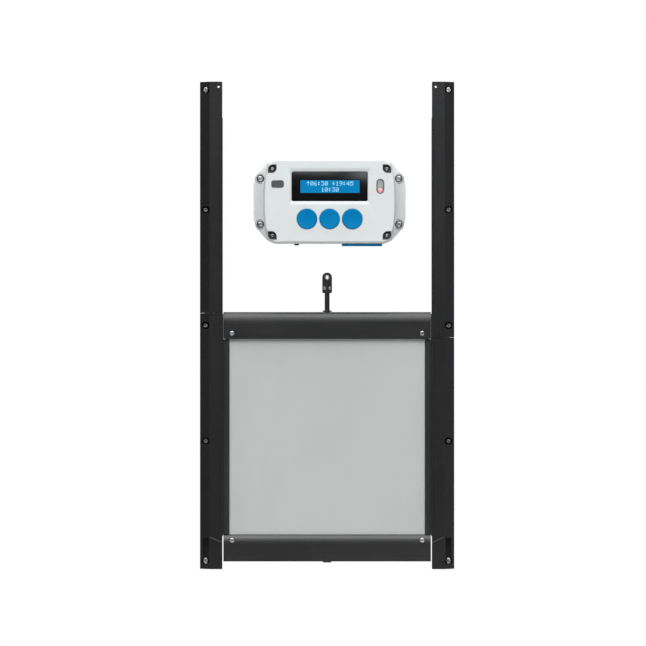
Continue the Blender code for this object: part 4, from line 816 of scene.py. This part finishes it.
def case_back():
    """The rear shell with its fixing ears and a raised ring round each fixing screw."""
    ear, dome = unit_outline(EAR_CORNERS, EAR_HALF), unit_outline(DOME_CORNERS, DOME_HALF)
    rings = []
    for step in range(6):
        angle = math.pi / 2 * step / 5
        shrink, forward = EAR_EASE * (1 - math.sin(angle)), 1.5 * MM * (1 - math.cos(angle))
        rings.append((eased(ear, shrink), REAR - forward))
    for step in range(1, 7):
        angle = math.pi / 2 * step / 6
        shrink, back = EAR_EASE * (1 - math.cos(angle)), EAR_EASE * (1 - math.sin(angle))
        rings.append((eased(ear, shrink), REAR - EAR_DEPTH + back))
    rings.append((eased(dome), REAR - DOME_START + 1.5 * MM))
    rings.append((eased(dome), REAR - SEAM_DEPTH + EDGE_EASE))
    rings.append((eased(dome, EDGE_EASE), REAR - SEAM_DEPTH))
    made = stack("case_back_skin", rings, "Y", FINISH["case"])
    bosses, tools = [], []
    for corner, _, _ in CORNERS:
        spot = centre_of(f"mount_screw_{corner}")
        top, root = REAR - EAR_DEPTH - BOSS_RISE, REAR - 8 * MM
        profile = [(0.0, top), (6.4 * MM, top), (7.0 * MM, top + 0.5 * MM), (7.3 * MM, root), (0.0, root)]
        bosses.append(turned("boss", profile, "Y", (spot.x, spot.z), 48))
        seat = REAR - EAR_DEPTH + 4 * MM
        tools.append(peg("seat", SEAT_RADIUS, top - 5 * MM, seat, "Y", (spot.x, spot.z), 48))
        tools.append(peg("bore", MOUNT_BORE, seat - OVERCUT, REAR + OVERCUT, "Y", (spot.x, spot.z), 24))
        spot = centre_of(f"case_screw_{corner}")
        start = REAR - SEAM_DEPTH - OVERCUT
        tools.append(peg("boss_hole", CASE_SCREW_BORE, start, REAR - 5 * MM, "Y", (spot.x, spot.z), 20))
    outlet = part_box("cord_outlet")
    spot = (outlet[0] + outlet[1]) / 2
    under = BACK_LOW.z
    tools.append(peg("outlet", OUTLET_BORE, under - OVERCUT, under + 5 * MM, "Z", (spot.x, spot.y), 32))
    tools.append(cavity("hollow", REAR - WALL, REAR - SEAM_DEPTH - OVERCUT))
    tools.append(drawer_bay(REAR - SEAM_DEPTH - OVERCUT, REAR - BAY_BACK))
    combine(made, bosses, "UNION")
    combine(made, tools)
    soften(made, 0.35 * MM, 3, 34)
    show(made, "case_back")


def ear_rings():
    """A dark ring over the rim of each fixing boss, which paints the shadow of the gap round the boss, and a
    dark washer under each fixing screw's head.
    """
    for corner, _, _ in CORNERS:
        low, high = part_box(f"mount_screw_{corner}")
        spot = (low + high) / 2
        face = REAR - EAR_DEPTH
        for name, inner, outer, front, back in (
            # The first ring is painted shadow: a dark band on the boss's rim where the gap round the boss
            # would be shaded.
            ("shadow_ring", 6.55, 7.05, face - 1.1 * MM, face - 0.5 * MM),
            ("washer", 4.70, 5.35, face + 0.3 * MM, face + 1.2 * MM),
        ):
            profile = [(inner * MM, back), (outer * MM, back), (outer * MM, front), (inner * MM, front)]
            made = turned(
                f"ear_{name}_{corner}", profile, "Y", (spot.x, spot.z), 48, FINISH["rubber_and_shadow"], ring=True
            )
            show(made, "case_back", replaces=False)


def ringed(name, outer, inner, front, back, finish_made):
    """A frame between two outlines of equal length."""
    shape = bmesh.new()
    soft_edge = 0.25 * MM
    loops = []
    for outline, along in ((outer, back), (outer, front + soft_edge), (inset(outer, soft_edge), front),
                           (inset(inner, -soft_edge), front), (inner, front + soft_edge), (inner, back)):
        loops.append([shape.verts.new(place("Y", u, v, along)) for u, v in outline])
    for lower, upper in zip(loops, loops[1:] + loops[:1]):
        for i in range(len(lower)):
            j = (i + 1) % len(lower)
            shape.faces.new((lower[i], lower[j], upper[j], upper[i]))
    return made_object(name, shape, finish_made)


def leaf_cups():
    """Dark liners of the four corner pockets."""
    for corner, sx, sz in CORNERS:
        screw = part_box(f"case_screw_{corner}")
        spot = (screw[0] + screw[1]) / 2
        floor = screw[0].y + 2.3 * MM
        outer = leaf_outline(spot, sx, sz, 6.0 * MM)
        inner = leaf_outline(spot, sx, sz, 5.2 * MM)
        middle = leaf_outline(spot, sx, sz, 5.6 * MM)
        rings = ((outer, floor + 0.1 * MM), (outer, FACE + 0.9 * MM), (middle, FACE + 0.6 * MM),
                 (inner, FACE + 0.9 * MM), (inner, floor))
        made = stack(f"corner_pocket_{corner}", rings, "Y", FINISH["grey"])
        hub = turned(f"corner_hub_{corner}", [
            (2.5 * MM, floor), (3.6 * MM, floor), (3.3 * MM, floor - 1.2 * MM), (2.7 * MM, floor - 1.2 * MM),
        ], "Y", (spot.x, spot.z), 40, FINISH["grey"], ring=True)
        show(made, "case_front", replaces=False)
        show(hub, "case_front", replaces=False)


GLYPHS = {
    "0": "01110 10001 10011 10101 11001 10001 01110",
    "1": "00100 01100 00100 00100 00100 00100 01110",
    "2": "01110 10001 00001 00010 00100 01000 11111",
    "3": "11111 00010 00100 00010 00001 10001 01110",
    "4": "00010 00110 01010 10010 11111 00010 00010",
    "5": "11111 10000 11110 00001 00001 10001 01110",
    "6": "00110 01000 10000 11110 10001 10001 01110",
    "7": "11111 00001 00010 00100 01000 01000 01000",
    "8": "01110 10001 10001 01110 10001 10001 01110",
    "9": "01110 10001 10001 01111 00001 00010 01100",
    ":": "00000 01100 01100 00000 01100 01100 00000",
    "^": "00100 01110 10101 00100 00100 00100 00000",
    "v": "00100 00100 00100 10101 01110 00100 00000",
    " ": "00000 00000 00000 00000 00000 00000 00000",
}


TILE = ((-1, -1), (1, -1), (1, 1), (-1, 1))


def dot_line(shape, text, middle_x, middle_z, pitch, front, back):
    """Dot matrix characters as small raised tiles, five wide and seven high."""
    left = middle_x - pitch * (6 * len(text) - 1) / 2
    for place_number, letter in enumerate(text):
        for row, bits in enumerate(GLYPHS[letter].split()):
            for column, bit in enumerate(bits):
                if bit == "0":
                    continue
                x = left + pitch * (6 * place_number + column + 0.5)
                z = middle_z + pitch * (3 - row)
                half = pitch * 0.44
                near = [shape.verts.new((x + a * half, front, z + b * half)) for a, b in TILE]
                far = [shape.verts.new((v.co.x, back, v.co.z)) for v in near]
                shape.faces.new(near)
                shape.faces.new(far[::-1])
                for i in range(4):
                    j = (i + 1) % 4
                    shape.faces.new((near[i], far[i], far[j], near[j]))


def display():
    """The gloss window with the lit field behind it, its bezel and its dot matrix digits."""
    low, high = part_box("display_window")
    middle = (low + high) / 2
    half_width, half_height = (high.x - low.x) / 2, (high.z - low.z) / 2
    outline = rectangle((middle.x, middle.z), half_width, half_height, 2.2 * MM, 8)
    rings = ((outline, high.y), (outline, low.y + 0.4 * MM), (inset(outline, 0.12 * MM), low.y + 0.12 * MM),
             (inset(outline, 0.4 * MM), low.y))
    window = stack("display_window_skin", rings, "Y", FINISH["glass"])
    show(window, "display_window")
    field_x, field_z = middle.x + 0.5 * MM, middle.z - 0.3 * MM
    half = (42.0 * MM, 9.0 * MM)
    bezel_out = rectangle((field_x, field_z), half[0] + 1.0 * MM, half[1] + 1.0 * MM, 0.8 * MM, 4)
    bezel_in = rectangle((field_x, field_z), half[0], half[1], 0.4 * MM, 4)
    bezel = ringed("display_bezel", bezel_out, bezel_in, low.y - 0.12 * MM, low.y + 0.4 * MM, FINISH["glass"])
    show(bezel, "display_window", replaces=False)
    field_outline = rectangle((field_x, field_z), half[0] - 0.02 * MM, half[1] - 0.02 * MM, 0.38 * MM, 4)
    field = prism("display_field", field_outline, "Y", low.y - 0.04 * MM, low.y + 0.3 * MM, FINISH["lcd"])
    show(field, "display_window", replaces=False)
    shape = bmesh.new()
    front, back = low.y - 0.10 * MM, low.y - 0.02 * MM
    dot_line(shape, "^06:30 v19:45", field_x, field_z + 4.4 * MM, 0.86 * MM, front, back)
    dot_line(shape, "10:30", field_x, field_z - 4.4 * MM, 0.86 * MM, front, back)
    digits = made_object("display_digits", shape, FINISH["digit"])
    show(digits, "display_window", replaces=False)


def chevron(centre, size, up):
    x, z = centre
    sign = 1 if up else -1
    points = [(-1, -0.35), (0, 0.45), (1, -0.35), (0.68, -0.62), (0, -0.05), (-0.68, -0.62)]
    return [(x + a * size, z + sign * b * size) for a, b in points]


def buttons():
    for number, mark in ((1, "up"), (2, "dot"), (3, "down")):
        node = f"button_{number}"
        low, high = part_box(node)
        spot = (low + high) / 2
        radius = (high.x - low.x) / 2 - BUTTON_FLANGE
        front, stem_end = low.y, high.y
        inner = FACE + FACE_WALL + CLEARANCE
        deck = front + BUTTON_DISH
        profile = [(0.0, deck)]
        for step in range(1, 9):
            share = step / 8
            profile.append(((radius - BUTTON_ROLL) * share, front + BUTTON_DISH * (1 - share ** 2.2)))
        for step in range(1, 8):
            angle = math.pi / 2 * step / 7
            across = radius - BUTTON_ROLL + BUTTON_ROLL * math.sin(angle)
            profile.append((across, front + 1.3 * MM * (1 - math.cos(angle))))
        flange, stem, flange_end = radius + BUTTON_FLANGE, 3.0 * MM, inner + 1.0 * MM
        profile += [(radius, inner), (flange, inner), (flange, flange_end), (stem, flange_end),
                    (stem, stem_end), (0.0, stem_end)]
        made = turned(f"{node}_skin", profile, "Y", (spot.x, spot.z), 96, FINISH["blue"])
        show(made, node)
        if mark == "dot":
            made = turned(f"{node}_mark", [(0.0, deck - 0.22 * MM), (1.3 * MM, deck - 0.20 * MM),
                                           (1.6 * MM, deck + 0.1 * MM), (0.0, deck + 0.1 * MM)],
                          "Y", (spot.x, spot.z), 36, FINISH["blue"])
        else:
            outline = chevron((spot.x, spot.z), 2.6 * MM, mark == "up")
            made = prism(f"{node}_mark", outline, "Y", deck - 0.22 * MM, deck + 0.1 * MM, FINISH["blue"])
            soften(made, 0.1 * MM)
        show(made, node, replaces=False)


def light_sensor():
    """The light sensor's rimmed window: ribbed diffuser above and the status lamp below."""
    low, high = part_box("sensor_window")
    middle = (low + high) / 2
    radius = (high.x - low.x) / 2
    ends = ((middle.x, low.z + radius), (middle.x, high.z - radius))

    def pill(margin):
        return slot_outline(*ends, radius - margin)

    rim = ringed("sensor_rim", pill(0.0), pill(1.1 * MM), low.y - 0.35 * MM, high.y - 2.2 * MM, FINISH["rim"])
    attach(rim, "frame")
    plate_edge, plate_face = pill(1.12 * MM), low.y + 0.9 * MM
    plate = stack("sensor_window_skin", ((plate_edge, high.y), (plate_edge, plate_face)), "Y", FINISH["pale"])
    ribs = []
    lamp_z = centre_of("status_led").z
    top = high.z - 1.9 * MM
    count = 7
    for number in range(count):
        z = lamp_z + 4.6 * MM + (top - lamp_z - 6.0 * MM) * number / (count - 1)
        reach = radius - 1.25 * MM
        above = z - (high.z - radius)
        if above > 0:
            reach = math.sqrt(max(0.1 * MM ** 2, reach ** 2 - above ** 2))
        outline = arc((plate_face, z), (0.5 * MM, 0.42 * MM), 90, 270, 8)
        ribs.append(prism("rib", outline, "X", middle.x - reach, middle.x + reach))
    shape = bmesh.new()
    for piece in (plate, *ribs):
        shape.from_mesh(piece.data)
    for piece in ribs:
        bpy.data.objects.remove(piece, do_unlink=True)
    shape.to_mesh(plate.data)
    shape.free()
    shade(plate)
    show(plate, "sensor_window")
    lamp = 3.35 * MM
    deck = low.y + 0.75 * MM
    profile = [(0.0, deck - 1.1 * MM)]
    profile += [(lamp * math.sin(a), deck - 1.1 * MM * math.cos(a)) for a in (0.3, 0.6, 0.9, 1.2, 1.45)]
    profile += [(lamp, deck), (lamp, deck + 0.6 * MM), (0.0, deck + 0.6 * MM)]
    made = turned("status_lamp_lens", profile, "Y", (middle.x, lamp_z), 48, FINISH["led"])
    show(made, "status_led", replaces=False)


def badge():
    """A plain plate at the unit's upper left, its face sunk inside a thin border."""
    centre = (BOX_MIDDLE[0] - 73.9 * MM, BOX_MIDDLE[1] + 24.0 * MM)
    half = (8.9 * MM, 5.2 * MM)
    outer = rectangle(centre, half[0], half[1], 3.0 * MM, 8)
    inner = inset(outer, 0.9 * MM)
    rim = ringed("badge_rim", outer, inner, FACE - 0.55 * MM, FACE + 0.3 * MM, FINISH["grey"])
    field = inset(outer, 0.92 * MM)
    plate = stack("badge_plate", ((field, FACE + 0.3 * MM), (field, FACE - 0.25 * MM)), "Y", FINISH["grey"])
    for made in (rim, plate):
        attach(made, "frame")


def outlet():
    low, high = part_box("cord_outlet")
    middle = (low + high) / 2
    bore, radius, flange = 1.6 * MM, 3.5 * MM, (high.x - low.x) / 2
    top = high.z - 1.2 * MM
    profile = [(bore + 0.5 * MM, low.z), (radius - 0.8 * MM, low.z), (radius - 0.25 * MM, low.z + 0.25 * MM),
               (radius, low.z + 0.8 * MM), (radius, top), (flange, top), (flange, high.z), (bore, high.z),
               (bore, low.z + 0.6 * MM), (bore + 0.15 * MM, low.z + 0.2 * MM)]
    made = turned("cord_outlet_skin", profile, "Z", (middle.x, middle.y), 48, FINISH["moulded"], ring=True)
    show(made, "cord_outlet")


def drawer():
    """The drawer with finger ribs along the front of its cap."""
    refined("battery_drawer", FINISH["drawer"], 0.5 * MM, 3)
    low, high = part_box("battery_drawer")
    outline_low, outline_high = low.z + 0.75 * MM, low.z + 3.1 * MM
    for number in range(9):
        x = (low.x + high.x) / 2 + (number - 4) * 2.6 * MM
        outline = arc((x, low.y + 0.1 * MM), (0.55 * MM, 0.45 * MM), 180, 360, 8)
        made = prism(f"drawer_rib_{number + 1}", outline, "Z", outline_low, outline_high, FINISH["drawer"])
        show(made, "battery_drawer", replaces=False)


def inside():
    """What the closed unit hides keeps its CAD shape, with a full material."""
    looks = {"spool": "moulded", "gear_motor": "steel", "circuit_board": "board", "lcd_module": "glass",
             "case_seal": "rubber_and_shadow", "status_led": "led"}
    looks.update({f"cell_{number}": "cell" for number in (1, 2, 3, 4)})
    for node, key in looks.items():
        slots = NODES[node].data.materials
        slots.clear()
        slots.append(FINISH[key])


# --- studio ----------------------------------------------------------------------------


def area_light(name, where, aim, size, power, colour=(1.0, 1.0, 1.0)):
    data = bpy.data.lights.new(name, "AREA")
    data.shape = "RECTANGLE"
    data.size, data.size_y = size
    data.energy = power
    data.color = colour
    made = bpy.data.objects.new(name, data)
    made.location = where
    made.rotation_euler = (Vector(aim) - Vector(where)).to_track_quat("-Z", "Y").to_euler()
    bpy.context.scene.collection.objects.link(made)
    return made


def studio():
    middle = (CAD_BOUNDS[0] + CAD_BOUNDS[1]) / 2
    aim = (0.0, -0.02, 0.352)
    area_light("top", (0.0, -0.75, 2.15), (0.0, -0.35, 0.0), (3.0, 2.2), 72.0)
    area_light("key", (-0.7, -2.6, 2.1), aim, (1.8, 1.4), 37.0)
    area_light("glow", (0.44, -1.25, 1.10), aim, (0.45, 0.45), 4.5, (0.96, 0.98, 1.0))
    area_light("right", (2.2, -0.1, 0.45), aim, (0.6, 1.6), 3.0, (0.84, 0.86, 1.0))
    area_light("left", (-2.6, -0.8, 0.8), aim, (0.8, 2.2), 4.0, (1.0, 0.96, 0.90))
    area_light("rear", (0.3, 2.6, 1.4), aim, (2.4, 1.6), 30.0)
    world = bpy.data.worlds.new("studio")
    bpy.context.scene.world = world
    world.use_nodes = True
    tree = world.node_tree
    tree.nodes.clear()
    out = tree.nodes.new("ShaderNodeOutputWorld")
    mix = tree.nodes.new("ShaderNodeMixShader")
    path = tree.nodes.new("ShaderNodeLightPath")
    seen, lit = tree.nodes.new("ShaderNodeBackground"), tree.nodes.new("ShaderNodeBackground")
    seen.inputs["Color"].default_value = (1.0, 1.0, 1.0, 1.0)
    lit.inputs["Color"].default_value = (0.93, 0.95, 1.0, 1.0)
    lit.inputs["Strength"].default_value = 0.13
    tree.links.new(path.outputs["Is Camera Ray"], mix.inputs["Fac"])
    tree.links.new(lit.outputs["Background"], mix.inputs[1])
    tree.links.new(seen.outputs["Background"], mix.inputs[2])
    tree.links.new(mix.outputs["Shader"], out.inputs["Surface"])

    floor_material = finish(
        "studio_floor", (0.86, 0.86, 0.86), 0.7, vary=0.01, grain=60.0, depth=0.02, specular=0.2,
    )
    floor_radius, floor_height = 1.05, -0.185
    bpy.ops.mesh.primitive_circle_add(
        vertices=96, radius=floor_radius, fill_type="NGON", location=(middle.x, 0.0, floor_height)
    )
    floor = bpy.context.object
    floor.name = "studio_floor"
    floor.data.materials.append(floor_material)

    # A long lens, straight on to the front, close to the height of the object's middle
    distance, span = 8.0, 0.9233
    aim_x, aim_z, span_plane = -0.0059, 0.3519, CAD_BOUNDS[0].y + 0.057
    data = bpy.data.cameras.new("camera")
    data.sensor_width = 36.0
    data.lens = data.sensor_width * distance / span
    data.clip_end = 60.0
    camera = bpy.data.objects.new("camera", data)
    camera.location = (aim_x, span_plane - distance, aim_z)
    camera.rotation_euler = (math.radians(90), 0.0, 0.0)
    bpy.context.scene.collection.objects.link(camera)
    bpy.context.scene.camera = camera
    bpy.context.scene.view_settings.view_transform = "Standard"


all_screws()
runners()
seam_gaskets()
door()
collar()
rod()
eye()
case_back()
ear_rings()
case_front()
leaf_cups()
display()
buttons()
light_sensor()
badge()
outlet()
drawer()
inside()
studio()
